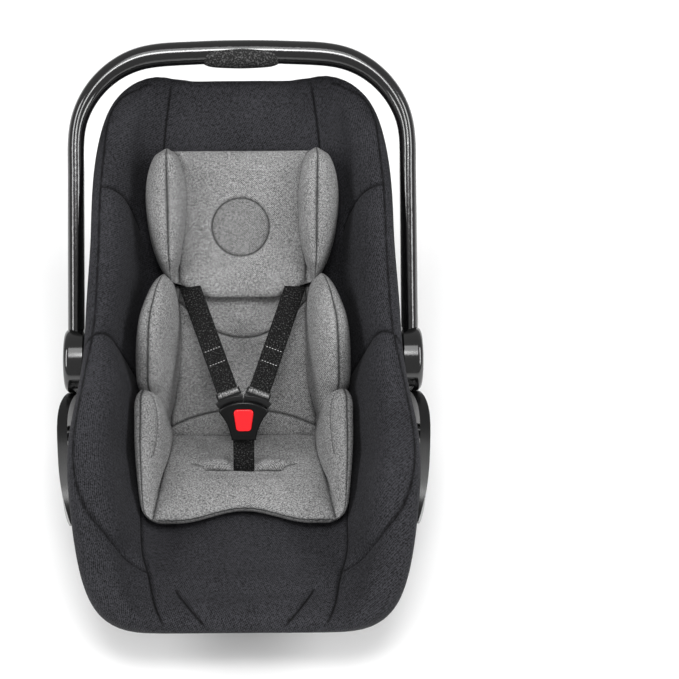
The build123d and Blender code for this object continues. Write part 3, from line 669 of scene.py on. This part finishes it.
def case_sheets(foot, along, out, cut):
    """
    Front and back sheet of a cushion's case, stood up at its wing seams, and the flat cut of both.
    The cut gives half widths over its length, how far pad and wing stand out in front and behind,
    and the reach over which they round off towards their edges.
    """
    columns, row_count = cut["columns"], cut["rows"]
    b = np.linspace(0, 1, row_count)
    half = even_widths(cut["width"], b)
    x = np.linspace(-1, 1, columns)[None, :] * half[:, None]
    y = cut["low"](x) + (cut["high"](x) - cut["low"](x)) * b[:, None]
    seam_half = np.interp(y, *cut["seam"])
    flat = np.stack([x, y], axis=2)
    border = np.concatenate([stepped(line) for line in (flat[0], flat[-1], flat[:, 0], flat[:, -1])])
    flat = flat.reshape(-1, 2)
    to_edge = far_from(flat, border).reshape(x.shape)
    to_seam = np.abs(np.abs(x) - seam_half)
    wing = ease((np.abs(x) - seam_half + 6) / 12)
    to_ridge = half[:, None] - np.abs(x)
    lens = np.sqrt(np.clip(1 - (2 * b ** (math.log(0.5) / math.log(cut["fullest"])) - 1) ** 2, 0, 1))[:, None]
    full, reach = cut["front"], cut["round"][0]
    pad_front = full[0] * full_round(np.minimum(to_edge, to_seam + 3) / reach)
    wing_front = full[1] * lens * full_round(np.minimum(to_ridge, to_seam + 3) / reach)
    front = pad_front * (1 - wing) + wing_front * wing
    full, reach = cut["back"], cut["round"][1]
    pad_back, wing_back = full[0] * full_round(to_edge / reach), full[1] * lens * full_round(to_ridge / reach)
    back = pad_back * (1 - wing) + wing_back * wing
    across, rise, slope = stand_up(x, seam_half, math.radians(cut["tilt"]), cut["turn"])
    lean = np.sign(x) * np.sin(slope)
    sheets = []
    for height in (front, -back):
        flat_x = across - lean * height
        flat_z = rise + np.cos(slope) * height + cut["lift"](x, y)
        sheet = flat_x[:, :, None] * np.array((1.0, 0, 0)) + y[:, :, None] * along + flat_z[:, :, None] * out
        sheets.append(np.asarray(foot) + sheet)
    return sheets, flat


def empty_case(name, sheets, flat, flipped, material):
    """The case of a cushion before it is filled, with both sheets joined at the edge, and that edge."""
    row_count, columns = sheets[0].shape[:2]
    count = row_count * columns
    index = np.arange(count).reshape(row_count, columns)
    rim = np.concatenate([index[0], index[1:, -1], index[-1, -2::-1], index[-2:0:-1, 0]])
    twin = np.arange(count) + count
    twin[rim] = rim
    front_side = np.array(grid_faces(row_count, columns, False))
    if flipped:
        front_side = front_side[:, ::-1]
    back_side = front_side[:, ::-1]
    points = np.concatenate([s.reshape(-1, 3) for s in sheets])
    used, numbers = np.unique(np.concatenate([front_side, twin[back_side]]), return_inverse=True)
    front_map, back_map = on_sheet(sheets[0])[front_side.ravel()], on_sheet(sheets[1])[back_side.ravel()]
    cloth_map = np.concatenate([front_map, back_map + (0, BACK_SIDE)])
    cut_map = np.concatenate([flat[front_side.ravel()], flat[back_side.ravel()] + (0, BACK_SIDE)])
    piece = mesh_piece(name, points[used], numbers.reshape(-1, 4).tolist(), material, cloth_map)
    lay_map(piece.data, "cut", cut_map)
    edge = np.searchsorted(used, rim)
    on_edge = np.zeros(len(used), np.float32)
    on_edge[edge] = 1.0
    piece.data.attributes.new("edge", "FLOAT", "POINT").data.foreach_set("value", on_edge)
    return piece, edge


EDGE_DRAWN_IN = 0.6
WING_SEAM = (2.4, 2.6)
LINE_WIDTH = 1.2


def sew_down(mesh, cut):
    """Draws a filled cushion down along its lines, ripples its front, and marks painted shade along its seams
    and sewn edge and in any darker patch of its cut.
    """
    place = vertex_map(mesh)
    is_front = place[:, 1] < BACK_SIDE / 2
    place = np.where(is_front[:, None], place, place - (0, BACK_SIDE))
    strength = np.zeros(len(mesh.vertices))
    x, y = place[:, 0], place[:, 1]
    relief = 0.4 * np.sin(x / 5.1 + 2 * np.sin(y / 23)) * np.sin(y / 13)
    relief = relief + 0.6 * np.sin(x / 21 + y / 17) + cut["relief"](x, y)
    wing_seams = both_sides(stepped(np.stack([cut["seam"][1], cut["seam"][0]], axis=1)))
    for line, depth, breadth in cut["lines"] + [(line, *WING_SEAM) for line in wing_seams]:
        gap = far_from(place, line)
        # Seam lines are marked by their depth: partly thread, partly painted shade of the creases.
        strength = np.maximum(strength, bell(gap, LINE_WIDTH) * min(1.0, depth / WING_SEAM[0]))
        relief = relief - depth * bell(gap, breadth)
    near_edge = np.zeros(len(mesh.vertices), np.float32)
    mesh.attributes["edge"].data.foreach_get("value", near_edge)
    # The sewn edge is marked at full strength: partly its seam, partly painted shade where the cushion's edge
    # meets the cover.
    edge_line = np.clip((near_edge - 0.7) / 0.3, 0, 1)
    # Painted shade inside the cut's patch, where it has one.
    strength = np.maximum(strength, cut["painted_shade"](x, y))
    strength = np.maximum(strength * is_front, edge_line)
    rise_in = (relief * is_front * (1 - near_edge) - EDGE_DRAWN_IN * edge_line) * MM
    moved = vertex_rows(mesh, "co") + vertex_rows(mesh, "normal") * rise_in[:, None]
    mesh.vertices.foreach_set("co", moved.ravel())
    mark_seams(mesh, strength)
    mesh.uv_layers.remove(mesh.uv_layers["cut"])
    mesh.attributes.remove(mesh.attributes["edge"])
    mesh.update()


def cushion(name, foot, along, out, cut, material, nodes):
    """One insert cushion from its flat cut: stood up, filled, and sewn down along its lines."""
    sheets, flat = case_sheets(foot, along, out, cut)
    flipped = np.dot(np.cross(along, out), (1, 0, 0)) < 0
    piece, edge = empty_case(name, sheets, flat, flipped, material)
    fill_case(piece, edge, cut["cap"])
    refine(piece, 2)
    sew_down(piece.data, cut)
    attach(piece, "carrier")
    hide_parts(*nodes)


mesh_cloth = cloth("grey_air_mesh", grey(0.05), grey(0.42), pitch=0.0016, sheen=0.03, slope=0.75, fuzz=0.8)
BACK_RISE = math.radians(44)
SEAT_RISE = math.radians(15.5)
up_back = np.array((0.0, math.cos(BACK_RISE), math.sin(BACK_RISE)))
off_back = np.array((0.0, -math.sin(BACK_RISE), math.cos(BACK_RISE)))
down_seat = np.array((0.0, -math.cos(SEAT_RISE), math.sin(SEAT_RISE)))
off_seat = np.array((0.0, math.sin(SEAT_RISE), math.cos(SEAT_RISE)))
HEAD_FOOT = (0, 118.3, 201.5)
BACK_FOOT = (0, -4.9, 72.8)
SEAT_FOOT = (0, -32.9, 64.3)


def no_relief(x, y):
    return 0.0 * x


def head_low(x):
    return -24 + 18 * ease((np.abs(x) - 36) / 50) + 6 * ease((np.abs(x) - 88) / 30)


def head_high(x):
    return 157 + 3 * ease((np.abs(x) - 80) / 30)


def head_lift(x, y):
    return 15 * np.clip((44 - y) / 68, 0, 1) ** 1.6


PATCH_RADIUS = 34.5
PATCH_X, PATCH_Y = -2, 63
around = np.linspace(0, 2 * math.pi, 260)
patch = np.stack([PATCH_X + PATCH_RADIUS * np.cos(around), PATCH_Y + PATCH_RADIUS * np.sin(around)], axis=1)


def inside_patch(x, y, softness):
    return ease((PATCH_RADIUS - np.hypot(x - PATCH_X, y - PATCH_Y)) / softness)


def head_relief(x, y):
    """The round patch is drawn in a little."""
    return -1.2 * inside_patch(x, y, 5)


def patch_painted_shade(x, y):
    """Painted shade: the round patch is darkened below the pillow's colour."""
    return 0.28 * inside_patch(x, y, 1.5)


head_cut = {
    "columns": 66, "rows": 38, "tilt": 90.0, "turn": 8.0, "round": (32.0, 46.0), "cap": 3.0,
    "width": (
        (0, 94), (0.04, 112), (0.12, 128), (0.28, 141), (0.52, 146), (0.76, 143), (0.9, 131), (0.97, 114),
        (1, 94),
    ),
    "fullest": 0.6,
    "low": head_low, "high": head_high, "lift": head_lift, "relief": head_relief, "painted_shade": patch_painted_shade,
    "seam": ((-24, 40, 78, 120, 164), (78, 80, 80, 81, 82)), "front": (15.0, 21.0), "back": (9.0, 28.0),
    "lines": [(patch, 3.0, 2.0)],
}
cushion("head_pillow", HEAD_FOOT, up_back, off_back, head_cut, mesh_cloth,
        ["insert_head_pillow", *both("insert_head_wing")])


def straight_low(x):
    return -18 + 0 * x


def back_high(x):
    return 172 + 17 * ease((np.abs(x) - 80) / 45)


arc_x = np.linspace(-77, 77, 240)
lumbar_x = np.linspace(-89, 89, 240)
back_cut = {
    "columns": 76, "rows": 40, "tilt": 77.0, "turn": 12.0, "round": (36.0, 44.0), "cap": 3.0,
    "width": (
        (0, 104), (0.09, 130), (0.19, 150), (0.33, 168), (0.48, 178), (0.63, 181), (0.79, 174), (0.91, 155),
        (1, 118),
    ),
    "fullest": 0.52,
    "low": straight_low, "high": back_high, "lift": no_relief, "relief": no_relief, "painted_shade": no_relief,
    "seam": ((-18, 0, 80, 162, 190), (91, 90, 84, 78, 76)), "front": (12.0, 21.0), "back": (7.0, 24.0),
    "lines": [
        (np.stack([arc_x, 106.5 + 0.0074 * arc_x**2], axis=1), 2.4, 1.8),
        (np.stack([lumbar_x, 21 * (1 - (lumbar_x / 89) ** 2) - 3], axis=1), 2.6, 1.9),
    ],
}
cushion("back_pad", BACK_FOOT, up_back, off_back, back_cut, mesh_cloth,
        ["insert_back_pad", *both("insert_back_wing")])

SLIT_Y = 62.0
SLIT_HALF = 45.0


def seat_high(x):
    return 121 + 22 * ease(np.abs(x) / 78)


def seat_relief(x, y):
    """The pad is drawn down at its slit and beside the crotch strap, and stands up just behind the slit."""
    near = ease((SLIT_HALF + 16 - np.abs(x)) / 22)
    behind = 4.0 * bell(y - SLIT_Y + 9, 8) * near
    before = -3.5 * bell(y - SLIT_Y - 7, 10) * near
    strap = -5.0 * bell(np.abs(x) - 13, 8) * ease((y - 8) / 20) * ease((SLIT_Y + 2 - y) / 6)
    return behind + before + strap


slit_x = np.linspace(-SLIT_HALF, SLIT_HALF, 120)
fold_x = np.linspace(SLIT_HALF, SLIT_HALF + 17, 40)
seat_lines = [(np.stack([slit_x, SLIT_Y + 0 * slit_x], axis=1), 4.0, 2.6)]
for line in both_sides(np.stack([fold_x, SLIT_Y - 0.5 * (fold_x - SLIT_HALF)], axis=1)):
    seat_lines.append((line, 1.6, 3.0))
for line in both_sides(smooth_line(((190, 14), (176, 30), (162, 52), (153, 78)), 120)):
    seat_lines.append((line, 1.5, 2.0))
seat_cut = {
    "columns": 76, "rows": 40, "tilt": 79.0, "turn": 12.0, "round": (34.0, 16.0), "cap": 3.0,
    "width": (
        (0, 118), (0.05, 158), (0.11, 182), (0.18, 195), (0.25, 198), (0.34, 193), (0.5, 180), (0.68, 160),
        (0.84, 138), (0.94, 119), (1, 102),
    ),
    "fullest": 0.24,
    "low": straight_low, "high": seat_high, "lift": no_relief, "relief": seat_relief, "painted_shade": no_relief,
    "seam": ((-50, 0, 62, 118, 150), (90, 91, 98, 104, 108)), "front": (13.0, 19.0), "back": (10.0, 10.0),
    "lines": seat_lines,
}
cushion("seat_pad", SEAT_FOOT, down_seat, off_seat, seat_cut, mesh_cloth,
        ["insert_seat_pad", *both("insert_seat_wing")])


# Harness: 25 mm polyester webbing. Each shoulder strap comes through the shell and its cushion, runs
# down to a tongue, turns round the tongue's bar and is sewn back on itself with two rows of white thread.
WEB_WIDTH = 25.0
WEB_THICK = 1.6
RIB_PITCH = 0.0022
PICK_PITCH = 0.0016
UNDERSIDE = 60  # where the strap's underside lies on its cloth map, across
BUCKLE_RISE = math.radians(55)
BUCKLE_FOOT = np.array((0, -66.8, 124.8))
up_buckle = np.array((0.0, math.cos(BUCKLE_RISE), math.sin(BUCKLE_RISE)))
off_buckle = np.array((0.0, -math.sin(BUCKLE_RISE), math.cos(BUCKLE_RISE)))


def unit(vectors):
    return vectors / np.linalg.norm(vectors, axis=-1, keepdims=True)


def webbing(name):
    """Ribbed narrow weave with light flecks; the turned end is fuzzy and paler, partly a painted highlight on
    the fold.
    """
    material, place, skin = new_finish(name, {"Sheen Weight": 0.01, "Specular IOR Level": 0.12})
    laid = place.node("ShaderNodeUVMap", {"uv_map": "cloth"}, {})
    rib_sizes = {"Vector": laid, "Scale": 0.314 / RIB_PITCH}
    ribs = place.node("ShaderNodeTexWave", {"bands_direction": "X"}, rib_sizes, 1)
    pick_sizes = {"Vector": laid, "Scale": 0.314 / PICK_PITCH, "Distortion": 1.0}
    picks = place.node("ShaderNodeTexWave", {"bands_direction": "Y"}, pick_sizes, 1)
    fleck = laid.noise(600.0, 2.0)
    stops = ((0.55, (0, 0, 0, 1)), (0.72, (1, 1, 1, 1)))
    bright = place.node("ShaderNodeValToRGB", {"stops": stops}, {"Fac": fleck})
    weave = 0.5 * ribs + 0.35 * picks
    shade = weave.between(grey(0.001), grey(0.005))
    flecked = (0.45 * bright).between(shade, grey(0.2))
    fold_fuzz_and_light = place.node("ShaderNodeAttribute", {"attribute_name": "seam"}, {}, 2)
    # Painted highlight: the pale fuzzy colour on the turned end stands in partly for light catching the fold.
    fuzz = (2.6 * fleck - 0.85).between(grey(0.02), grey(0.45))
    fold_fuzz_and_light.between(flecked, fuzz).feeds(skin, "Base Color")
    (0.8 - 0.2 * weave).feeds(skin, "Roughness")
    weave.raises(skin, 0.6, 0.0006)
    return material


def rounded_route(points, radii, step=2.0):
    """The line through the points with its corners rounded to the given reach, in small steps."""
    route = [np.asarray(points[0], float)]
    for before, corner, after, reach in zip(points, points[1:], points[2:], radii):
        enter = corner + unit(before - corner) * reach
        leave = corner + unit(after - corner) * reach
        straight = max(2, int(np.linalg.norm(enter - route[-1]) / step))
        start = route[-1]
        route += [start + (enter - start) * k / straight for k in range(1, straight + 1)]
        for k in range(1, 9):
            s = k / 8
            route.append((1 - s) ** 2 * enter + 2 * s * (1 - s) * corner + s * s * leave)
    start = route[-1]
    straight = max(2, int(np.linalg.norm(points[-1] - start) / step))
    route += [start + (points[-1] - start) * k / straight for k in range(1, straight + 1)]
    return np.array(route)


def tube(name, rings, maps, material):
    """A skin through rings of points, capped at both ends, with the cloth map of each point."""
    count, steps = rings.shape[:2]
    faces = grid_faces(count, steps, True)
    last = (count - 1) * steps
    faces += [tuple(reversed(range(steps))), tuple(range(last, last + steps))]
    corners = [v for f in faces for v in f]
    return mesh_piece(name, rings.reshape(-1, 3), faces, material, maps.reshape(-1, 2)[corners])


def strap_piece(name, route, width_way, material, fold_fuzz_and_light):
    """A flat strap with rounded selvedges along a route; the last argument is the strength, at each step, of
    its pale fuzz and painted fold highlight.
    """
    heading = unit(np.gradient(route, axis=0))
    side = unit(width_way - heading * (heading @ width_way)[:, None])
    thick = np.cross(heading, side)
    w, h = WEB_WIDTH / 2, WEB_THICK / 2
    outline = [(w * k / 5, h * (1 - 0.25 * abs(k / 5) ** 6)) for k in range(-5, 6)]
    outline = outline + [(x, -z) for x, z in reversed(outline)]
    rings = np.array([[p + a * x + b * z for x, z in outline] for p, a, b in zip(route, side, thick)])
    maps = np.array([[(x + (0 if z > 0 else UNDERSIDE), r) for x, z in outline] for r in run_of(route)])
    strap = tube(name, rings, maps, material)
    mark_seams(strap.data, np.repeat(fold_fuzz_and_light, len(outline)))
    return strap


def stitch_tree(thread):
    """Stitches along lines: even points, each with a short rounded bar that follows the line."""
    tree = bpy.data.node_groups.new("stitch_rows", "GeometryNodeTree")
    tree.interface.new_socket("Lines", in_out="INPUT", socket_type="NodeSocketGeometry")
    for label, size in (("Pitch", 0.0035), ("Length", 0.0024), ("Thickness", 0.0008)):
        socket = tree.interface.new_socket(label, in_out="INPUT", socket_type="NodeSocketFloat")
        socket.default_value = size
    tree.interface.new_socket("Stitches", in_out="OUTPUT", socket_type="NodeSocketGeometry")
    kinds = {
        "lines": "NodeGroupInput", "curve": "GeometryNodeMeshToCurve", "even": "GeometryNodeResampleCurve",
        "tangent": "GeometryNodeInputTangent", "turn": "FunctionNodeAlignRotationToVector",
        "bar": "GeometryNodeMeshCylinder", "sew": "GeometryNodeInstanceOnPoints",
        "real": "GeometryNodeRealizeInstances", "thread": "GeometryNodeSetMaterial", "out": "NodeGroupOutput",
    }
    made = {key: tree.nodes.new(kind) for key, kind in kinds.items()}
    made["even"].mode = "LENGTH"
    made["turn"].axis = "Z"
    made["bar"].inputs["Vertices"].default_value = 6
    made["thread"].inputs["Material"].default_value = thread
    for start, out_name, end, in_name in (
        ("lines", "Lines", "curve", "Mesh"), ("curve", "Curve", "even", "Curve"),
        ("lines", "Pitch", "even", "Length"), ("tangent", "Tangent", "turn", "Vector"),
        ("lines", "Length", "bar", "Depth"), ("lines", "Thickness", "bar", "Radius"),
        ("even", "Curve", "sew", "Points"), ("bar", "Mesh", "sew", "Instance"),
        ("turn", "Rotation", "sew", "Rotation"), ("sew", "Instances", "real", "Geometry"),
        ("real", "Geometry", "thread", "Geometry"), ("thread", "Geometry", "out", "Stitches"),
    ):
        tree.links.new(made[start].outputs[out_name], made[end].inputs[in_name])
    return tree


def stitches(name, lines, tree, material, pitch, length, thickness):
    """Bakes rows of stitches along lines of points, in millimetres, to one plain mesh."""
    points, edges = [], []
    for line in lines:
        start = len(points)
        points += [tuple(p * MM) for p in line]
        edges += [(start + k, start + k + 1) for k in range(len(line) - 1)]
    mesh = bpy.data.meshes.new(name)
    mesh.from_pydata(points, edges, [])
    rows_of = put_in_scene(name, mesh)
    sewing = rows_of.modifiers.new("sewing", "NODES")
    sewing.node_group = tree
    sizes = {"Pitch": pitch, "Length": length, "Thickness": thickness}
    for item in tree.interface.items_tree:
        if item.name in sizes:
            sewing[item.identifier] = sizes[item.name] * MM
    done = bpy.data.meshes.new_from_object(evaluated(rows_of))
    rows_of.modifiers.remove(sewing)
    rows_of.data = done
    done.materials.clear()
    done.materials.append(material)
    return rows_of


def thread_finish(name, colour):
    material, place, skin = new_finish(name, {"Sheen Weight": 0.2})
    ply = place.noise(1500.0, 2.0)
    ply.between(toned(colour, 0.6), colour).feeds(skin, "Base Color")
    (0.6 + 0.3 * ply).feeds(skin, "Roughness")
    return material


web_cloth = webbing("black_webbing")
white_thread = thread_finish("white_thread", grey(0.6))
stitch_rows = stitch_tree(white_thread)
SIDES = (("left", -1), ("right", 1))
BAR_X, BAR_UP, BAR_OFF = 18.3, 57.5, 1.7
SLOT_X, SLOT_UP = 64.0, 170
SLOT_FRONT, SLOT_BACK = 22, 52
bar_place = BUCKLE_FOOT + np.array((BAR_X, 0, 0)) + up_buckle * BAR_UP + off_buckle * BAR_OFF
slot_place = np.array(BACK_FOOT) + np.array((SLOT_X, 0, 0)) + up_back * SLOT_UP
over_place = slot_place + off_back * SLOT_FRONT
tail_place = slot_place - off_back * SLOT_BACK
web_run = unit(over_place - bar_place)
web_side = unit(np.cross(over_place - bar_place, tail_place - over_place))
web_side = web_side if web_side[0] > 0 else -web_side
web_out = unit(np.cross(web_side, web_run))
web_out = web_out if web_out @ off_buckle > 0 else -web_out
LOOP = 3.2
SEWN_BACK = 76.0
STITCH_ROWS = (38.0, 57.0)
STITCH_HALF = 8.5
web_points = [
    bar_place + web_run * SEWN_BACK + web_out * (LOOP - 2.0),
    bar_place + web_run * 10 - web_out * LOOP,
    bar_place - web_run * LOOP - web_out * LOOP,
    bar_place - web_run * LOOP + web_out * LOOP,
    over_place + web_out * LOOP,
    tail_place,
]
web_route = rounded_route(web_points, (5, 3.1, 3.1, 12), 1.5)
# Pale fuzz and painted highlight on the fold round the tongue's bar.
web_fold_light = ease((1.5 - (web_route - bar_place) @ web_run) / 4.0)
for side_name, side in SIDES:
    flip = np.array((side, 1, 1))
    width_way = web_side * flip * side
    strap = strap_piece(f"shoulder_web_{side_name}", web_route * flip, width_way, web_cloth, web_fold_light)
    rows_across = []
    for reach in STITCH_ROWS:
        middle = bar_place + web_run * reach + web_out * (LOOP + WEB_THICK / 2 + 0.1)
        across = np.linspace(-STITCH_HALF, STITCH_HALF, 24)
        rows_across.append(np.array([(middle + web_side * k) * flip for k in across]))
    sewn_rows = stitches(f"web_stitches_{side_name}", rows_across, stitch_rows, white_thread,
                         pitch=3.2, length=1.5, thickness=0.42)
    for piece in (strap, sewn_rows):
        tuple((bar_place + web_run * 8) * flip * MM)
        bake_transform(piece)
    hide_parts(f"shoulder_strap_{side_name}")


# Crotch strap: the same webbing, sewn into the buckle's foot, through the slit of the seat pad and the
# shell, and held under the shell by a steel plate.
slit_place = np.array(SEAT_FOOT) + down_seat * SLIT_Y
crotch_points = [
    BUCKLE_FOOT + up_buckle * 4 - off_buckle * 3.5,
    slit_place + off_seat * 14,
    slit_place - off_seat * 47.5,
]
crotch_route = rounded_route(crotch_points, (10,), 2.0)
no_fold_light = np.zeros(len(crotch_route))
crotch = strap_piece("crotch_web", crotch_route, np.array((1.0, 0, 0)), web_cloth, no_fold_light)
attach(crotch, "carrier")
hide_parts("crotch_strap")


# Buckle: two black nylon halves around a steel latch, a red press button, and two coated steel tongues
# that push in from above. The button is a gloss moulding; the halves carry a fine satin grain.
buckle_plastic = moulding(
    "buckle_nylon", grey(0.003, 1.05), roughness=0.26, grain=0.0009, depth=0.00012,
    fixed={"Specular IOR Level": 0.3},
)
dress(buckle_plastic, "buckle_front", "buckle_rear", *both("lock_gear"))
button_red = (0.86, 0.012, 0.018, 1.0)
dress(moulding("red_button", button_red, roughness=0.28, grain=0.0012, depth=0.00005), "buckle_button")
tongue_coat = moulding("coated_tongue", grey(0.005, 1.05), roughness=0.32, grain=0.0009, depth=0.0001)
dress(tongue_coat, *both("tongue"))


# Springs: zinc-plated wire coils with closed ends. One stands under the buckle's button and one inside
# each hub behind the release button; each is held at one end and shortens when its button is pressed.
def coil(name, foot, way, length, radius, wire, turns):
    """A coil that stands on its foot; wire is the radius of the wire."""
    way = unit(np.asarray(way, float))
    first = unit(np.cross(way, (0.31, 0.52, 0.8)))
    second = np.cross(way, first)
    angle = np.linspace(0, 2 * math.pi * turns, 30 * turns)
    closed_turn = 1.6 * math.pi
    climb = np.clip((angle - closed_turn) / (angle[-1] - 2 * closed_turn), 0, 1)
    outward = np.outer(np.cos(angle), first) + np.outer(np.sin(angle), second)
    line = foot + radius * outward + np.outer(wire + (length - 2 * wire) * climb, way)
    heading = unit(np.gradient(line, axis=0))
    across = np.cross(heading, outward)
    ring = np.linspace(0, 2 * math.pi, 8, endpoint=False)
    rings = np.array([[p + wire * (a * math.cos(r) + b * math.sin(r)) for r in ring]
                      for p, a, b in zip(line, outward, across)])
    maps = np.array([[(radius * a, wire * r) for r in ring] for a in angle])
    spring = tube(f"{name}_coil", rings, maps, zinc)
    top = foot + way * length
    tuple(foot * MM)
    tuple(top * MM)
    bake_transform(spring)
    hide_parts(name)


press_foot = BUCKLE_FOOT + up_buckle * 23.0 - off_buckle * 4.5
coil("buckle_spring", press_foot, off_buckle, length=9.0, radius=4.05, wire=0.45, turns=5)
for side_name, side in SIDES:
    sleeve_low, sleeve_high = (np.array(corner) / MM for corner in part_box(f"return_spring_{side_name}"))
    middle = (sleeve_low + sleeve_high) / 2
    length = sleeve_high[0] - sleeve_low[0]
    foot = middle - np.array((side * length / 2, 0, 0))
    coil(f"return_spring_{side_name}", foot, (side, 0, 0), length, radius=8.9, wire=0.6, turns=4)


# Carry handle: a bow of satin black plastic tube between two hub housings that turn on the sockets.
# A round button in the middle of each hub lets go of the lock; a soft sanded grip is pressed on the bar.
satin = moulding(
    "satin_black_plastic", grey(0.002, 1.06), roughness=0.13, grain=0.0016, depth=0.00001,
    fixed={"Specular IOR Level": 0.9},
)
dress(satin, "handle_tube", *both("hub_housing", "release_button"))


def speckled_rubber(name):
    """Soft rubber with a coarse sandblasted grip pattern."""
    material, place, skin = new_finish(name, {"Specular IOR Level": 0.35})
    sand = place.noise(520.0, 3.0)
    stops = ((0.5, (0, 0, 0, 1)), (0.68, (1, 1, 1, 1)))
    crests = place.node("ShaderNodeValToRGB", {"stops": stops}, {"Fac": sand})
    crests.between(grey(0.004), grey(0.09)).feeds(skin, "Base Color")
    (0.75 - 0.25 * crests).feeds(skin, "Roughness")
    sand.raises(skin, 0.9, 0.0012)
    return material


dress(speckled_rubber("grip_rubber"), "grip_pad")


# Stage: a plain pale floor, soft light from above and in front, and the camera at the photo's angle.
FLOOR_HALF = 6
FLOOR_HEIGHT = -0.0005
floor_mesh = bpy.data.meshes.new("floor")
corner_sides = ((-1, -1), (1, -1), (1, 1), (-1, 1))
floor_corners = [(x * FLOOR_HALF, y * FLOOR_HALF, FLOOR_HEIGHT) for x, y in corner_sides]
floor_mesh.from_pydata(floor_corners, [], [(0, 1, 2, 3)])
pale_floor, _, _ = new_finish("pale_floor", {"Roughness": 0.9, "Base Color": grey(0.95)})
floor_mesh.materials.append(pale_floor)
floor_piece = put_in_scene("floor", floor_mesh)

world = bpy.data.worlds.new("studio")
bpy.context.scene.world = world
world.use_nodes = True
world.node_tree.nodes["Background"].inputs["Color"].default_value = (1.0, 1.0, 1.0, 1.0)
world.node_tree.nodes["Background"].inputs["Strength"].default_value = 0.4


def softbox(name, place, size, power, lie):
    """A soft area light that faces the seat, with its second side lying along the given direction."""
    lamp = bpy.data.lights.new(name, "AREA")
    lamp.shape = "RECTANGLE"
    lamp.size, lamp.size_y = size
    lamp.energy = power
    light = put_in_scene(name, lamp)
    light.location = place
    back = (Vector(place) - Vector(AIM)).normalized()
    side = Vector(lie).cross(back).normalized()
    light.rotation_euler = Matrix((side, back.cross(side), back)).transposed().to_euler()


AIM = (0.0, 0.0144, 0.21)
ARM_WAY = (0.0, 0.79, 0.61)
softbox("overhead", place=(0.0, -0.45, 2.9), size=(1.5, 1.7), power=24.0, lie=(0, 1, 0))
softbox("front_box", place=(0.0, -0.8, 2.75), size=(0.8, 0.5), power=20.0, lie=(0, 1, 0))
for side in (-1, 1):
    softbox("side_strip", place=(2.1 * side, -0.75, 1.75), size=(0.8, 2.4), power=44.0, lie=ARM_WAY)

camera_data = bpy.data.cameras.new("camera")
camera = put_in_scene("camera", camera_data)
VIEW_RISE = math.radians(50)
VIEW_REACH = 2.0
VIEW_ROLL = math.radians(-0.4)
camera.location = Vector(AIM) + VIEW_REACH * Vector((0, -math.cos(VIEW_RISE), math.sin(VIEW_RISE)))
tipped = Matrix.Rotation(math.radians(90) - VIEW_RISE, 3, "X") @ Matrix.Rotation(VIEW_ROLL, 3, "Z")
camera.rotation_euler = tipped.to_euler()
camera_data.sensor_width = 36.0
camera_data.lens = 90.08
camera_data.shift_x = 0.142
bpy.context.scene.camera = camera
bpy.context.scene.view_settings.view_transform = "Standard"
